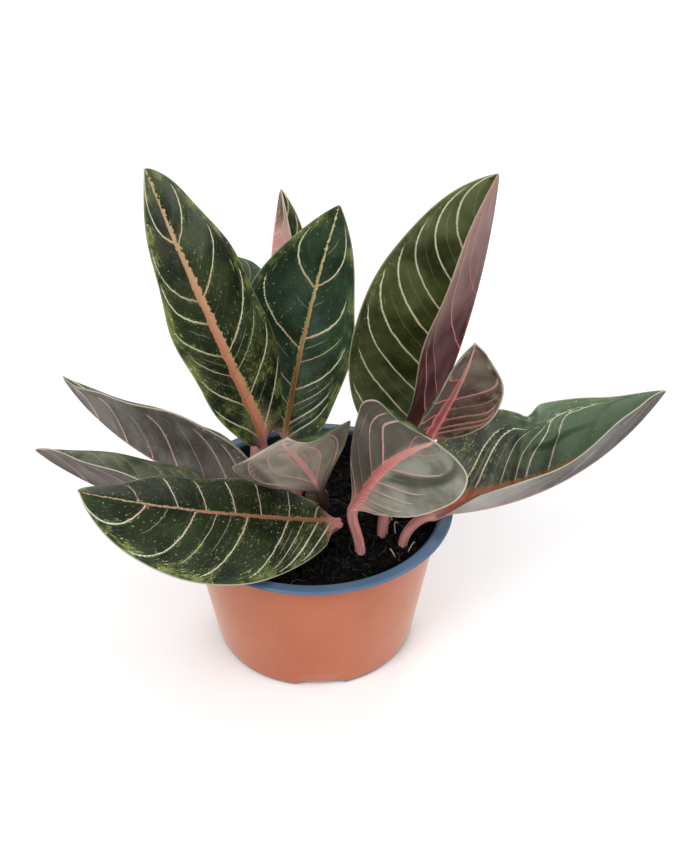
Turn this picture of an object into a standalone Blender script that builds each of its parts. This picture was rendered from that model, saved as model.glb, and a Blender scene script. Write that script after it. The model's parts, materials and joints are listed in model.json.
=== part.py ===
# Potted aglaonema: a two-colour nursery pot, its soil, three short canes and the leaves that grow round them.
# Every leaf is one solid, petiole and blade together, and stands in a plain hole in the soil.
# Lengths are in millimetres and angles in degrees until a mesh is made. +Z is up and -Y is the front.
# The pot stands on z = 0 with its axis on x = y = 0.
import math

import bmesh
import bpy
import numpy as np

MM = 0.001
GAP = 0.3                  # clearance between pieces that touch

# Pot
RIM_RADIUS = 63.8
RIM_HEIGHT = 72.0
RIM_DROP = 1.4             # height of the turned-down edge of the rim
WALL_TOP_RADIUS = 58.2     # outside of the wall just under the rim
FOOT_RADIUS = 47.0         # outside of the wall at the foot
WALL = 1.2                 # thickness of the moulded sheet
POT_SEGMENTS = 48
CHANNELS = 3               # arches in the foot, which let the water out
CHANNEL_TURN = 3.75        # how far the front arch is turned from the front
CHANNEL_LIFT = 2.6
CHANNEL_HALF_WIDTH = 11.5
CHANNEL_START = 29.0       # radius at which a channel begins
DRAIN_RADIUS = 2.8         # of the two drain holes in each arch
DRAIN_AT = 38.5
DRAIN_ANGLE = 6.8          # from the middle of the arch to each of its holes

# Soil
SOIL_LEVEL = 64.0
SOIL_MOUND = 1.6
HOLE_DEPTH = 10.0

# Leaves
BLADE_THICKNESS = 0.8
MARGIN_THICKNESS = 0.65
BLADE_STATIONS = 15
BLADE_STRIPS = 4           # strips on each side of the midrib
PETIOLE_STATIONS = 5
PETIOLE_HALF_WIDTH = 2.6
PETIOLE_HALF_DEPTH = 2.1
PETIOLE_UPRIGHT = 0.45     # how far the petiole's bend reaches up from the soil, as a share of its span
PETIOLE_INTO_BLADE = 0.3   # how far the bend reaches back from the blade
PETIOLE_EDGE = 12.0        # angle above the side at which the oval's first upper point lies
BLEND = 0.07               # share of the blade over which it grows out of the petiole
RIB_HALF_WIDTH = 2.3       # midrib where the blade begins, on the underside
RIB_DEPTH = 2.0

# Each leaf: root is where its petiole enters the soil, base is where the blade begins.
# heading is the compass of the blade, 0 along +X and 90 along +Y, and rise its climb.
# roll lifts the right edge, arch bends the tip down and sweep bends it to the right, all seen along the leaf.
# fold lifts each half from the midrib, open adds to the fold towards the tip and curl bends each half further.
# arch_tip and sweep_tip move that bend towards the tip, or below zero towards the base.
# full and taper shape the outline towards the base and the tip. wave is the height of each margin's waves.
LEAVES = {
    "leaf_tall_left": dict(
        root=(-11, 4), base=(-20, -5, 104), heading=150, rise=64.5, roll=-2.5, arch=-21, arch_tip=0.2,
        sweep=-21, twist=-5, length=141, width=62, full=0.63, taper=0.81, fold=(16, 17),
        curl=(-16, -15), open=(-7, -9), wave=(1.0, 1.0), waves=3.0),
    "leaf_tall_middle": dict(
        root=(-8, 13), base=(-14, 26, 85), heading=50.5, rise=76, roll=-1, arch=-5, arch_tip=0,
        sweep=12, twist=-16, length=120, width=65, full=0.55, taper=0.84, fold=(24, 24),
        curl=(-5, -6), open=(14, -4), wave=(1.0, 1.0), waves=2.5),
    "leaf_young_rolled": dict(
        root=(-10, 33), base=(-18, 62, 98), heading=177, rise=86, roll=-5, arch=-14, arch_tip=0.2,
        sweep=-16, twist=8, length=108, width=43, full=0.65, taper=0.93, fold=(57, 58),
        curl=(-10, -9), open=(-9, 2), wave=(0.5, 0.5), waves=2.0),
    "leaf_tall_right": dict(
        root=(42, 11), base=(46, 15, 87), heading=-13, rise=71, roll=-42.5, arch=-31, arch_tip=-0.3,
        sweep=18, twist=5, length=179, width=90, full=0.51, taper=0.89, fold=(55, 55),
        curl=(4, 2), open=(-18, 4), wave=(1.0, 1.0), waves=3.0),
    "leaf_small_right": dict(
        root=(31, -15), base=(47, -28, 126), heading=-57, rise=59, roll=6, arch=4, arch_tip=0,
        sweep=18, twist=5, length=87, width=41, full=0.60, taper=1.00, fold=(-7, -6),
        curl=(-42, -43), open=(5, 6), wave=(0.8, 0.8), waves=2.0),
    "leaf_side_right": dict(
        root=(40, -22), base=(53, -18, 79), heading=14, rise=-9, roll=9, arch=-35, arch_tip=0.1,
        sweep=-29, sweep_tip=-0.7, twist=5, length=148, width=88, full=0.38, taper=0.87, fold=(51, 54),
        curl=(-6, -5), open=(-4, 13), wave=(2.0, 0.4), waves=3.0),
    "leaf_front_left": dict(
        root=(4, -20), base=(12, -24, 79), heading=203, rise=19, roll=19, arch=-18, arch_tip=0,
        sweep=-5, twist=-3, length=127, width=62, full=0.70, taper=0.69, fold=(-8, -7),
        curl=(-32, -32), open=(-4, -18), wave=(1.0, 1.0), waves=3.0),
    "leaf_side_left": dict(
        root=(-15, -6), base=(-22, 3, 70), heading=170, rise=7, roll=-36, arch=-33, arch_tip=-0.1,
        sweep=35, twist=6, length=131, width=62, full=0.63, taper=1.14, fold=(51, 47),
        curl=(0, -3), open=(-14, 2), wave=(1.0, 1.0), waves=3.0),
    "leaf_low_left": dict(
        root=(-14, -15), base=(-28, -20, 75), heading=173.5, rise=1.5, roll=-22.5, arch=-19, arch_tip=0.2,
        sweep=32, twist=-4, length=116, width=49, full=0.65, taper=0.89, fold=(44, 43),
        curl=(-8, -10), open=(8, 5), wave=(0.8, 0.8), waves=2.5),
    "leaf_front_small": dict(
        root=(3, -9), base=(3, -19, 93), heading=-150, rise=66, roll=-69, arch=47, arch_tip=-1.0,
        sweep=-19, sweep_tip=1.3, twist=-5, length=98, width=54, full=0.40, taper=1.07, fold=(-2, 5),
        curl=(-1, -1), open=(-40, -12), wave=(0.6, 0.6), waves=2.0),
    "leaf_front_middle": dict(
        root=(21, -27), base=(19, -27, 88), heading=-35, rise=73, roll=101, arch=41, arch_tip=1.0,
        sweep=-33, sweep_tip=-1.5, twist=24, length=105, width=54, full=0.73, taper=0.71, fold=(21, -8),
        curl=(1, -20), open=(25, -40), wave=(0.8, 0.8), waves=2.5),
    "leaf_back_left": dict(
        root=(-29, 35), base=(-27, 75, 93), heading=108, rise=45, roll=3, arch=56, arch_tip=0,
        sweep=-18, twist=3, length=95, width=41, full=0.60, taper=0.88, fold=(22, 22),
        curl=(-12, -12), open=(0, 0), wave=(1.2, 1.2), waves=3.0),
    "leaf_back_right": dict(
        root=(29, 27), base=(37, 35, 89), heading=70, rise=53, roll=0, arch=44, arch_tip=0,
        sweep=-15, twist=1, length=118, width=50, full=0.60, taper=0.88, fold=(20, 20),
        curl=(-12, -12), open=(0, 0), wave=(1.2, 1.2), waves=3.0),
}

# Canes: foot in the soil, height above the soil, lean of the top and number of rings
CANES = {
    "cane_left": dict(foot=(-2, 22), radius=4.6, height=24.0, lean=(-1.5, 1.0), rings=3),
    "cane_front": dict(foot=(-1, 3), radius=4.2, height=12.0, lean=(0.5, 1.0), rings=1),
    "cane_right": dict(foot=(33, 4), radius=4.6, height=22.0, lean=(-1.0, 0.5), rings=3),
}
CANE_SIDES = 12


def smooth(x):
    x = min(max(x, 0.0), 1.0)
    return x * x * (3 - 2 * x)


def material(name, colour, roughness):
    made = bpy.data.materials.new(name)
    made.use_nodes = True
    shader = made.node_tree.nodes["Principled BSDF"]
    shader.inputs["Base Color"].default_value = (*colour, 1.0)
    shader.inputs["Roughness"].default_value = roughness
    return made


def add_object(name, points, faces, look):
    mesh = bpy.data.meshes.new(name)
    mesh.from_pydata([tuple(float(c) * MM for c in p) for p in points], [], faces)
    mesh.validate()
    made = bpy.data.objects.new(name, mesh)
    bpy.context.scene.collection.objects.link(made)
    mesh.materials.append(look)
    for polygon in mesh.polygons:
        polygon.use_smooth = True
    return made


def cut(target, cutter):
    change = target.modifiers.new("cut", "BOOLEAN")
    change.operation = "DIFFERENCE"
    change.solver = "EXACT"
    change.object = cutter
    bpy.context.view_layer.objects.active = target
    bpy.ops.object.modifier_apply(modifier=change.name)
    bpy.data.objects.remove(cutter)


def revolve(profile_at, count, rows):
    """Rings of points round the axis. profile_at(row, angle) gives radius and height; the ends close on the axis."""
    points = []
    for row in range(1, rows - 1):
        for k in range(count):
            angle = 2 * math.pi * k / count
            r, z = profile_at(row, angle)
            points.append((r * math.cos(angle), r * math.sin(angle), z))
    first = len(points)
    points.append((0.0, 0.0, profile_at(0, 0.0)[1]))
    last = len(points)
    points.append((0.0, 0.0, profile_at(rows - 1, 0.0)[1]))
    faces = []
    for k in range(count):
        n = (k + 1) % count
        faces.append((first, n, k))
        for row in range(rows - 3):
            a = row * count
            b = a + count
            faces.append((a + k, a + n, b + n))
            faces.append((a + k, b + n, b + k))
        top = (rows - 3) * count
        faces.append((last, top + k, top + n))
    return points, faces


# Pot and soil

CHANNEL_ANGLE = math.radians(270 + CHANNEL_TURN)


def channel(r, angle, spare=0.0):
    """How far the floor is lifted at this place by the arches in the foot, widened by spare."""
    turn = 2 * math.pi / CHANNELS
    off = (angle - CHANNEL_ANGLE + turn / 2) % turn - turn / 2
    across = abs(off) * max(r, 1.0)
    side = 1 - smooth((across - CHANNEL_HALF_WIDTH - spare + 3.5) / 3.5)
    start = smooth((r - CHANNEL_START + spare) / 4.0)
    return CHANNEL_LIFT * side * start


def wall_radius(z):
    return FOOT_RADIUS + (WALL_TOP_RADIUS - FOOT_RADIUS) * (z - 2.5) / (RIM_HEIGHT - 5.0)


POT_OUTSIDE = [(0, 0), (18, 0), (CHANNEL_START, 0), (CHANNEL_START + 4, 0), (39, 0), (45.4, 0)]
POT_FOOT = [(46.6, 0.8), (FOOT_RADIUS, 2.5), (wall_radius(9), 9)]
POT_WALL = [(wall_radius(z), z) for z in (26, 48, 66)]
POT_RIM = [
    (WALL_TOP_RADIUS, RIM_HEIGHT - 2.4),
    (WALL_TOP_RADIUS + 1.2, RIM_HEIGHT - WALL),
    (RIM_RADIUS - WALL - 0.3, RIM_HEIGHT - WALL),
    (RIM_RADIUS - WALL, RIM_HEIGHT - RIM_DROP),
    (RIM_RADIUS, RIM_HEIGHT - RIM_DROP),
    (RIM_RADIUS, RIM_HEIGHT - 0.8),
    (RIM_RADIUS - 0.8, RIM_HEIGHT),
    (WALL_TOP_RADIUS + 0.6, RIM_HEIGHT),
    (WALL_TOP_RADIUS - WALL, RIM_HEIGHT - 2.0),
]
POT_INSIDE_WALL = [(wall_radius(z) - WALL, z) for z in (66, 48, 26, 9)]
POT_INSIDE = [(FOOT_RADIUS - WALL - 0.2, 3.4), (45.0, 1.6), (39, WALL), (CHANNEL_START + 4, WALL)]
POT_INSIDE += [(CHANNEL_START, WALL), (18, WALL), (0, WALL)]
POT_PROFILE = POT_OUTSIDE + POT_FOOT + POT_WALL + POT_RIM + POT_INSIDE_WALL + POT_INSIDE


def pot_profile(row, angle):
    r, z = POT_PROFILE[row]
    share = 1 - smooth((z - 1.5) / 8.0)
    return r, z + channel(r, angle) * share


def soil_height(x, y):
    """Height of the soil's surface, slightly uneven and higher in the middle."""
    bumps = 0.5 * math.sin(0.21 * x + 0.9) * math.cos(0.18 * y - 0.4) + 0.35 * math.sin(0.43 * y + 0.31 * x)
    return SOIL_LEVEL + bumps + SOIL_MOUND * (1 - math.hypot(x, y) / 57.0) - 0.8


def soil_radius(z):
    return wall_radius(z) - WALL - GAP


SOIL_FLOOR = WALL + GAP
SOIL_OVER_CHANNEL = 1.6    # how much wider the soil's hollow is than the arch under it
SOIL_UNDERSIDE = [(0, SOIL_FLOOR), (18, SOIL_FLOOR), (CHANNEL_START, SOIL_FLOOR), (CHANNEL_START + 4, SOIL_FLOOR)]
SOIL_UNDERSIDE += [(39, SOIL_FLOOR), (44.2, SOIL_FLOOR + 0.8)]
SOIL_SIDE = [(45.0, 4.4), (soil_radius(9.5), 9.5), (soil_radius(36), 36)]
SOIL_TOP = [(soil_radius(62) - 0.3, None), (48, None), (40, None), (31, None), (21, None), (11, None), (0, None)]
SOIL_PROFILE = SOIL_UNDERSIDE + SOIL_SIDE + SOIL_TOP


def soil_profile(row, angle):
    r, z = SOIL_PROFILE[row]
    if z is None:
        return r, soil_height(r * math.cos(angle), r * math.sin(angle))
    share = 1 - smooth((z - 2.5) / 8.0)
    return r, z + channel(r, angle, SOIL_OVER_CHANNEL) * share


def rod(name, x, y, low, high, radius, sides, look):
    """An upright rod whose flat sides touch a circle of this radius, used to cut a hole."""
    points = []
    corner = radius / math.cos(math.pi / sides)
    for z in (low, high):
        for k in range(sides):
            angle = 2 * math.pi * (k + 0.5) / sides
            points.append((x + corner * math.cos(angle), y + corner * math.sin(angle), z))
    faces = [tuple(reversed(range(sides))), tuple(range(sides, 2 * sides))]
    for k in range(sides):
        n = (k + 1) % sides
        faces.append((k, n, sides + n, sides + k))
    return add_object(name, points, faces, look)


def build_pot(look):
    points, faces = revolve(pot_profile, POT_SEGMENTS, len(POT_PROFILE))
    pot = add_object("pot", points, faces, look)
    for k in range(CHANNELS):
        for off in (-DRAIN_ANGLE, DRAIN_ANGLE):
            angle = CHANNEL_ANGLE + 2 * math.pi * k / CHANNELS + math.radians(off)
            x = DRAIN_AT * math.cos(angle)
            y = DRAIN_AT * math.sin(angle)
            cut(pot, rod("drain", x, y, -2.0, 8.0, DRAIN_RADIUS, 12, look))
    return pot


def build_soil(look):
    points, faces = revolve(soil_profile, POT_SEGMENTS, len(SOIL_PROFILE))
    soil = add_object("soil", points, faces, look)
    for leaf in LEAVES.values():
        x, y = leaf["root"]
        low = soil_height(x, y) - HOLE_DEPTH
        cut(soil, rod("hole", x, y, low - GAP, SOIL_LEVEL + 12, PETIOLE_HALF_WIDTH + GAP, 14, look))
    for cane in CANES.values():
        x, y = cane["foot"]
        low = soil_height(x, y) - HOLE_DEPTH
        cut(soil, rod("hole", x, y, low - GAP, SOIL_LEVEL + 12, cane["radius"] + GAP, 16, look))
    return soil


# Canes


def build_cane(name, cane, look):
    """A short upright cane with the rings of old leaves and a rounded growing tip."""
    x, y = cane["foot"]
    ground = soil_height(x, y)
    r = cane["radius"]
    levels = [(-HOLE_DEPTH, 0.0), (-HOLE_DEPTH, r - 0.6), (1.0, r - 0.6)]
    for k in range(cane["rings"]):
        z = 1.0 + (cane["height"] - 8.0) * (k + 0.5) / cane["rings"]
        levels += [(z - 1.2, r - 0.5), (z, r), (z + 1.0, r - 0.7)]
    levels += [(cane["height"] - 5.0, r - 0.8), (cane["height"] - 1.5, r * 0.5), (cane["height"], 0.0)]

    def profile_at(row, angle):
        z, radius = levels[row]
        return radius, z

    points, faces = revolve(profile_at, CANE_SIDES, len(levels))
    placed = []
    for px, py, pz in points:
        bend = smooth(pz / cane["height"])
        placed.append((x + px + cane["lean"][0] * bend, y + py + cane["lean"][1] * bend, ground + pz))
    return add_object(name, placed, faces, look)


# Leaves


def turned(a, b, degrees):
    """Two perpendicular directions turned in their own plane, a towards b."""
    c, s = math.cos(math.radians(degrees)), math.sin(math.radians(degrees))
    return a * c + b * s, b * c - a * s


def blade_spine(leaf, shares):
    """Points along the midrib, with the directions forward, right and up of the blade at each."""
    h, r = math.radians(leaf["heading"]), math.radians(leaf["rise"])
    forward = np.array((math.cos(r) * math.cos(h), math.cos(r) * math.sin(h), math.sin(r)))
    right = np.array((math.sin(h), -math.cos(h), 0.0))
    up = np.cross(right, forward)
    right, up = turned(right, up, leaf["roll"])
    place = np.array(leaf["base"], float)
    spine = [(place, forward, right, up)]
    for before, after in zip(shares, shares[1:]):
        step = after - before
        middle = (after + before) / 2
        last = forward
        arch = leaf["arch"] * (1 + leaf["arch_tip"] * (2 * middle - 1))
        sweep = leaf["sweep"] * (1 + leaf.get("sweep_tip", 0) * (2 * middle - 1))
        forward, up = turned(forward, up, -arch * step)
        forward, right = turned(forward, right, sweep * step)
        right, up = turned(right, up, leaf["twist"] * step)
        way = forward + last
        place = place + way / np.linalg.norm(way) * leaf["length"] * step
        spine.append((place, forward, right, up))
    return spine


def half_width(leaf, u):
    """Half the blade's width at the share u of its length, with a narrow start and a blunt point."""
    u = min(max(u, 0.0), 1.0)
    a, b = leaf["full"], leaf["taper"]
    peak = a / (a + b)
    share = u ** a * (1 - u) ** b / (peak ** a * (1 - peak) ** b)
    return max(leaf["width"] / 2 * share, PETIOLE_HALF_WIDTH * (1 - u) + 0.9 * u)


def bent(fold, curl, v):
    """Sideways and upward reach at the share v of a half that starts at the angle fold and bends by curl."""
    f, c = math.radians(fold), math.radians(curl)
    if abs(c) < 1e-4:
        return v * math.cos(f), v * math.sin(f)
    return (math.sin(f + c * v) - math.sin(f)) / c, (math.cos(f) - math.cos(f + c * v)) / c


def blade_ring(leaf, u, place, right, up):
    """Upper points from the left margin to the right one, and the lower points under them."""
    w = half_width(leaf, u)
    rib = (RIB_HALF_WIDTH * (1 - u) + 0.7 * u) / w
    rib = min(rib, 0.4)
    outer = [rib + (1 - rib) * k / (BLADE_STRIPS - 1) for k in range(BLADE_STRIPS)]
    upper, lower = {}, {}
    depth = BLADE_THICKNESS + RIB_DEPTH * (1 - u) ** 0.8
    upper[0] = place
    lower[0] = place - up * depth
    envelope = math.sin(math.pi * min(max(u, 0.0), 1.0)) ** 0.7
    for side, sign in ((0, -1), (1, 1)):
        fold = leaf["fold"][side] + leaf["open"][side] * (2 * u - 1)
        curl = leaf["curl"][side]
        for k, v in enumerate(outer):
            across, rise = bent(fold, curl, v)
            angle = math.radians(fold + curl * v)
            normal = up * math.cos(angle) - right * sign * math.sin(angle)
            point = place + w * (sign * across * right + rise * up)
            phase = leaf["waves"] * u + 0.35 * side + 0.1
            point = point + normal * leaf["wave"][side] * envelope * v * v * math.sin(2 * math.pi * phase)
            thick = BLADE_THICKNESS + (MARGIN_THICKNESS - BLADE_THICKNESS) * v
            upper[sign * (k + 1)] = point
            lower[sign * (k + 1)] = point - normal * thick
    order = sorted(upper)
    return np.array([upper[k] for k in order]), np.array([lower[k] for k in order])


def petiole_ring(place, right, up, drop):
    """The same number of points round an oval; drop moves it below the line of the midrib."""
    count = 2 * BLADE_STRIPS + 1
    middle = place - up * PETIOLE_HALF_DEPTH * drop
    upper, lower = [], []
    for k in range(count):
        angle = math.radians(180 - PETIOLE_EDGE - (180 - 2 * PETIOLE_EDGE) * k / (count - 1))
        side = right * PETIOLE_HALF_WIDTH * math.cos(angle)
        height = up * PETIOLE_HALF_DEPTH * math.sin(angle)
        upper.append(middle + side + height)
        lower.append(middle + side - height)
    return np.array(upper), np.array(lower)


def petiole_path(leaf, start):
    """Centres of the petiole from its foot in the soil to the blade, bending from upright to the blade's direction."""
    x, y = leaf["root"]
    ground = soil_height(x, y)
    foot = np.array((x, y, ground - HOLE_DEPTH))
    out = np.array((x, y, ground + 0.5))
    base, forward = start
    reach = np.linalg.norm(base - out)
    path = [foot]
    for k in range(PETIOLE_STATIONS):
        t = k / PETIOLE_STATIONS
        a = out
        b = out + np.array((0, 0, PETIOLE_UPRIGHT * reach))
        c = base - forward * PETIOLE_INTO_BLADE * reach
        path.append(a * (1 - t) ** 3 + 3 * b * t * (1 - t) ** 2 + 3 * c * t * t * (1 - t) + base * t ** 3)
    return path


def leaf_rings(leaf):
    """All rings of a leaf, from the foot of its petiole to its tip."""
    shares = [(1 - math.cos(math.pi * k / BLADE_STATIONS)) / 2 for k in range(BLADE_STATIONS + 1)]
    spine = blade_spine(leaf, shares)
    base, forward, right, up = spine[0]
    path = petiole_path(leaf, (base, forward))
    rings = []
    way_next = forward
    for k in range(len(path) - 1, -1, -1):
        after = path[k + 1] if k + 1 < len(path) else base
        way = after - path[k]
        way = way / np.linalg.norm(way)
        if k <= 1:
            way = np.array((0.0, 0.0, 1.0))
        right = right - way * np.dot(right, way)
        right = right / np.linalg.norm(right)
        up = np.cross(right, way)
        rings.append(petiole_ring(path[k], right, up, k / len(path)))
    rings.reverse()
    for u, (place, forward, right, up) in zip(shares, spine):
        share = smooth(u / BLEND)
        blade = blade_ring(leaf, u, place, right, up)
        stalk = petiole_ring(place, right, up, 1.0)
        rings.append(tuple(blade[i] * share + stalk[i] * (1 - share) for i in (0, 1)))
    return rings


def build_leaf(name, leaf, look):
    rings = leaf_rings(leaf)
    across = 2 * BLADE_STRIPS + 1
    ring_size = 2 * across
    points = []
    for upper, lower in rings:
        points.extend(upper)
        points.extend(lower)
    faces = []
    for i in range(len(rings) - 1):
        a = i * ring_size
        b = a + ring_size
        for j in range(across - 1):
            faces.append((a + j, a + j + 1, b + j + 1))
            faces.append((a + j, b + j + 1, b + j))
            c, d = a + across + j, b + across + j
            faces.append((c, d + 1, c + 1))
            faces.append((c, d, d + 1))
        right_top, right_low = a + across - 1, a + ring_size - 1
        faces.append((right_top, right_low, right_low + ring_size))
        faces.append((right_top, right_low + ring_size, right_top + ring_size))
        faces.append((a + across, a, b))
        faces.append((a + across, b, b + across))
    last = (len(rings) - 1) * ring_size
    for j in range(across - 1):
        faces.append((j, across + j, across + j + 1))
        faces.append((j, across + j + 1, j + 1))
        faces.append((last + j, last + j + 1, last + across + j + 1))
        faces.append((last + j, last + across + j + 1, last + across + j))
    made = add_object(name, points, faces, look)
    shaped = bmesh.new()
    shaped.from_mesh(made.data)
    bmesh.ops.recalc_face_normals(shaped, faces=shaped.faces)
    shaped.to_mesh(made.data)
    shaped.free()
    return made


def main():
    for found in list(bpy.data.objects):
        bpy.data.objects.remove(found)
    build_pot(material("pot", (0.58, 0.22, 0.13), 0.45))
    build_soil(material("soil", (0.02, 0.016, 0.013), 0.95))
    for name, cane in CANES.items():
        build_cane(name, cane, material(name, (0.42, 0.24, 0.18), 0.5))
    for name, leaf in LEAVES.items():
        build_leaf(name, leaf, material(name, (0.035, 0.07, 0.03), 0.4))


main()
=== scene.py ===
# Potted aglaonema: veined leaves, ringed canes, crumbly soil and a two-colour pot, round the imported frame.
# Lengths are in millimetres and angles in degrees until a mesh is made. +Z is up and -Y is the front.
import json
import math
from types import SimpleNamespace

import bmesh
import bpy
import numpy as np
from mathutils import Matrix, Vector

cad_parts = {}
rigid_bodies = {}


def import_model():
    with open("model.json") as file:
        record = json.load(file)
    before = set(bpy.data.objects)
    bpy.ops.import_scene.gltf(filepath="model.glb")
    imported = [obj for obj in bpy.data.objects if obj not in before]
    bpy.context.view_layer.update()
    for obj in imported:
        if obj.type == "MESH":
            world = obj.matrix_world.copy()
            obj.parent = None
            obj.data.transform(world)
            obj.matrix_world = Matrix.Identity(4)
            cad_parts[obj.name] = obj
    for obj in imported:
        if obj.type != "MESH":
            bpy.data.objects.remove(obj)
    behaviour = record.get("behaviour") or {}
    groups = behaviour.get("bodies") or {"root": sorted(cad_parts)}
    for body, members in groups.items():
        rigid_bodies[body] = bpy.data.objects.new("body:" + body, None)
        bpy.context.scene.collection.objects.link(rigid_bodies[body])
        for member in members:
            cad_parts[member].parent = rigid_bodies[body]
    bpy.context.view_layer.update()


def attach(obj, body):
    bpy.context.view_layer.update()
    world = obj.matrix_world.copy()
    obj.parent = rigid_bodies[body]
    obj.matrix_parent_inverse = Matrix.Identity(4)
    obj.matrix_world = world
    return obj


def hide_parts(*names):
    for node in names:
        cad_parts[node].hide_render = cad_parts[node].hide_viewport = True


for found in list(bpy.data.objects):
    bpy.data.objects.remove(found)
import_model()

MM = 0.001

# Pot and soil, as in the part's source
RIM_RADIUS = 63.8
RIM_HEIGHT = 72.0
RIM_DROP = 1.4             # height of the turned-down edge of the rim
WALL_TOP_RADIUS = 58.2
FOOT_RADIUS = 47.0
WALL_ENDS = 2.5            # height of its lower end, and depth of its upper end below the rim
WALL = 1.2
CHANNELS = 3               # arches in the foot
CHANNEL_TURN = 3.75        # of the front arch from straight ahead
CHANNEL_LIFT = 2.6         # height of an arch
CHANNEL_HALF_WIDTH = 11.5
CHANNEL_START = 29.0       # radius at which they begin
DRAIN_RADIUS = 2.8         # of the two holes in each arch
DRAIN_AT = 38.5            # radius on which they lie
DRAIN_ANGLE = 6.8          # to each side of the arch's middle
SOIL_LEVEL = 64.0
SOIL_MOUND = 1.6
SOIL_EDGE = 57.0           # radius at which the mound ends
SOIL_SINK = 0.8            # how far the uneven surface lies below the level
SOIL_OVER_CHANNEL = 1.6    # how much wider the soil's hollow is than the arch in it
HOLE_DEPTH = 10.0          # of the holes for canes and petioles
GAP = 0.3                  # left free under the soil, beside it and under the petioles

# Finer detail of the pot, the canes and the soil
POT_SEGMENTS = 240
DRAIN_SIDES = 32
CANE_SIDES = 40
CRUMBS = 2300
CRUMB_SHARE = 0.86         # of plain crumbs
CHIP_SHARE = 0.1           # of bark chips, and the rest are pale grains
CRUMBS_REACH = 53.6        # radius inside which they lie
FIBRES = 110
FIBRES_START = 50.0        # radius inside which they begin
FIBRES_REACH = 53.0        # radius that they don't pass
FIBRE_RADIUS = 0.16        # in the middle, beyond that of its ends
FIBRE_END_RADIUS = 0.04
FIBRE_POINTS = 9
ROOT_POINTS = 12
ROOT_RADIUS = 0.34
ROOT_TINT = 2.2
TUBE_SIDES = 5             # of a fibre or a root

# Stage: the camera's place is in metres, and its tilt is measured from straight down
CAMERA_PLACE = (0.012, -0.4728, 0.4336)
CAMERA_TILT = 55.9
CAMERA_LENS = 55
CAMERA_SENSOR = 36
FLOOR_REACH = 4000
WORLD_STRENGTH = 0.75

# Leaves, as in the part's source, with more stations and strips
BLADE_THICKNESS = 0.8
MARGIN_THICKNESS = 0.65
EDGE_THICKNESS = 0.25      # at the very margin
EDGE_TAPER = 1.0           # distance over which the margin thins out
CAD_STATIONS = 15
STATIONS = 170
STRIPS = 34                # on each side of the midrib
PETIOLE_STATIONS = 26
PETIOLE_HALF_WIDTH = 2.6
PETIOLE_HALF_DEPTH = 2.1
PETIOLE_UPRIGHT = 0.45     # how far it goes on upright, as a share of its reach
PETIOLE_INTO_BLADE = 0.3   # how far it points along the blade before the blade begins
PETIOLE_EDGE = 12.0        # angle of the petiole's side edges
PETIOLE_GROOVE = 0.4       # depth as a share of its half depth
BLEND = 0.07               # share of the blade in which the petiole's form passes into it
RIB_HALF_WIDTH = 2.3
RIB_DEPTH = 2.0
RIB_GROOVE = 0.3           # depth of the groove over the midrib
SEED_STEP = 40.0           # between the leaves' places in the materials' noises
RIB_TIP_HALF_WIDTH = 0.7
RIB_SPREAD = 1.2           # of the keel's soft foot, as a share of its half width
TIP_HALF_WIDTH = 0.9

# Side veins
VEIN_BEND = 2.2            # how strongly a vein turns forward on its way to the margin
VEIN_DRIFT = 0.25          # how fast the line of a vein goes on towards the margin once it has ended
VEIN_SHOWN = 0.18          # least share of the blade's length over which a main vein shows
THIN_VEIN = 0.45           # strength beside a main vein's
STRONG_VEIN = 1.8

# Markings of the leaves' materials
FAR_UNEVEN = 0.3           # how raggedly the tip's own tint comes in
STREAKS_PER_VEIN = 8.0
TINT_EDGE = 4.0            # width of the edge of a tint
VEIN_WOBBLE = 0.08         # as a share of the distance between two veins
VEIN_ROUGHNESS = 0.20      # of a vein's edges
DASHES_PER_VEIN = 15.0
DASHES_ACROSS = 18.0       # along the way from the midrib to the margin
RIB_TIP = 0.2              # half width of the midrib's colour at the tip
LEAF_GRAIN = 0.22          # height of the grain and the raised veins
ROUGHNESS_SPAN = 0.16      # between the smoothest and the roughest places

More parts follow.
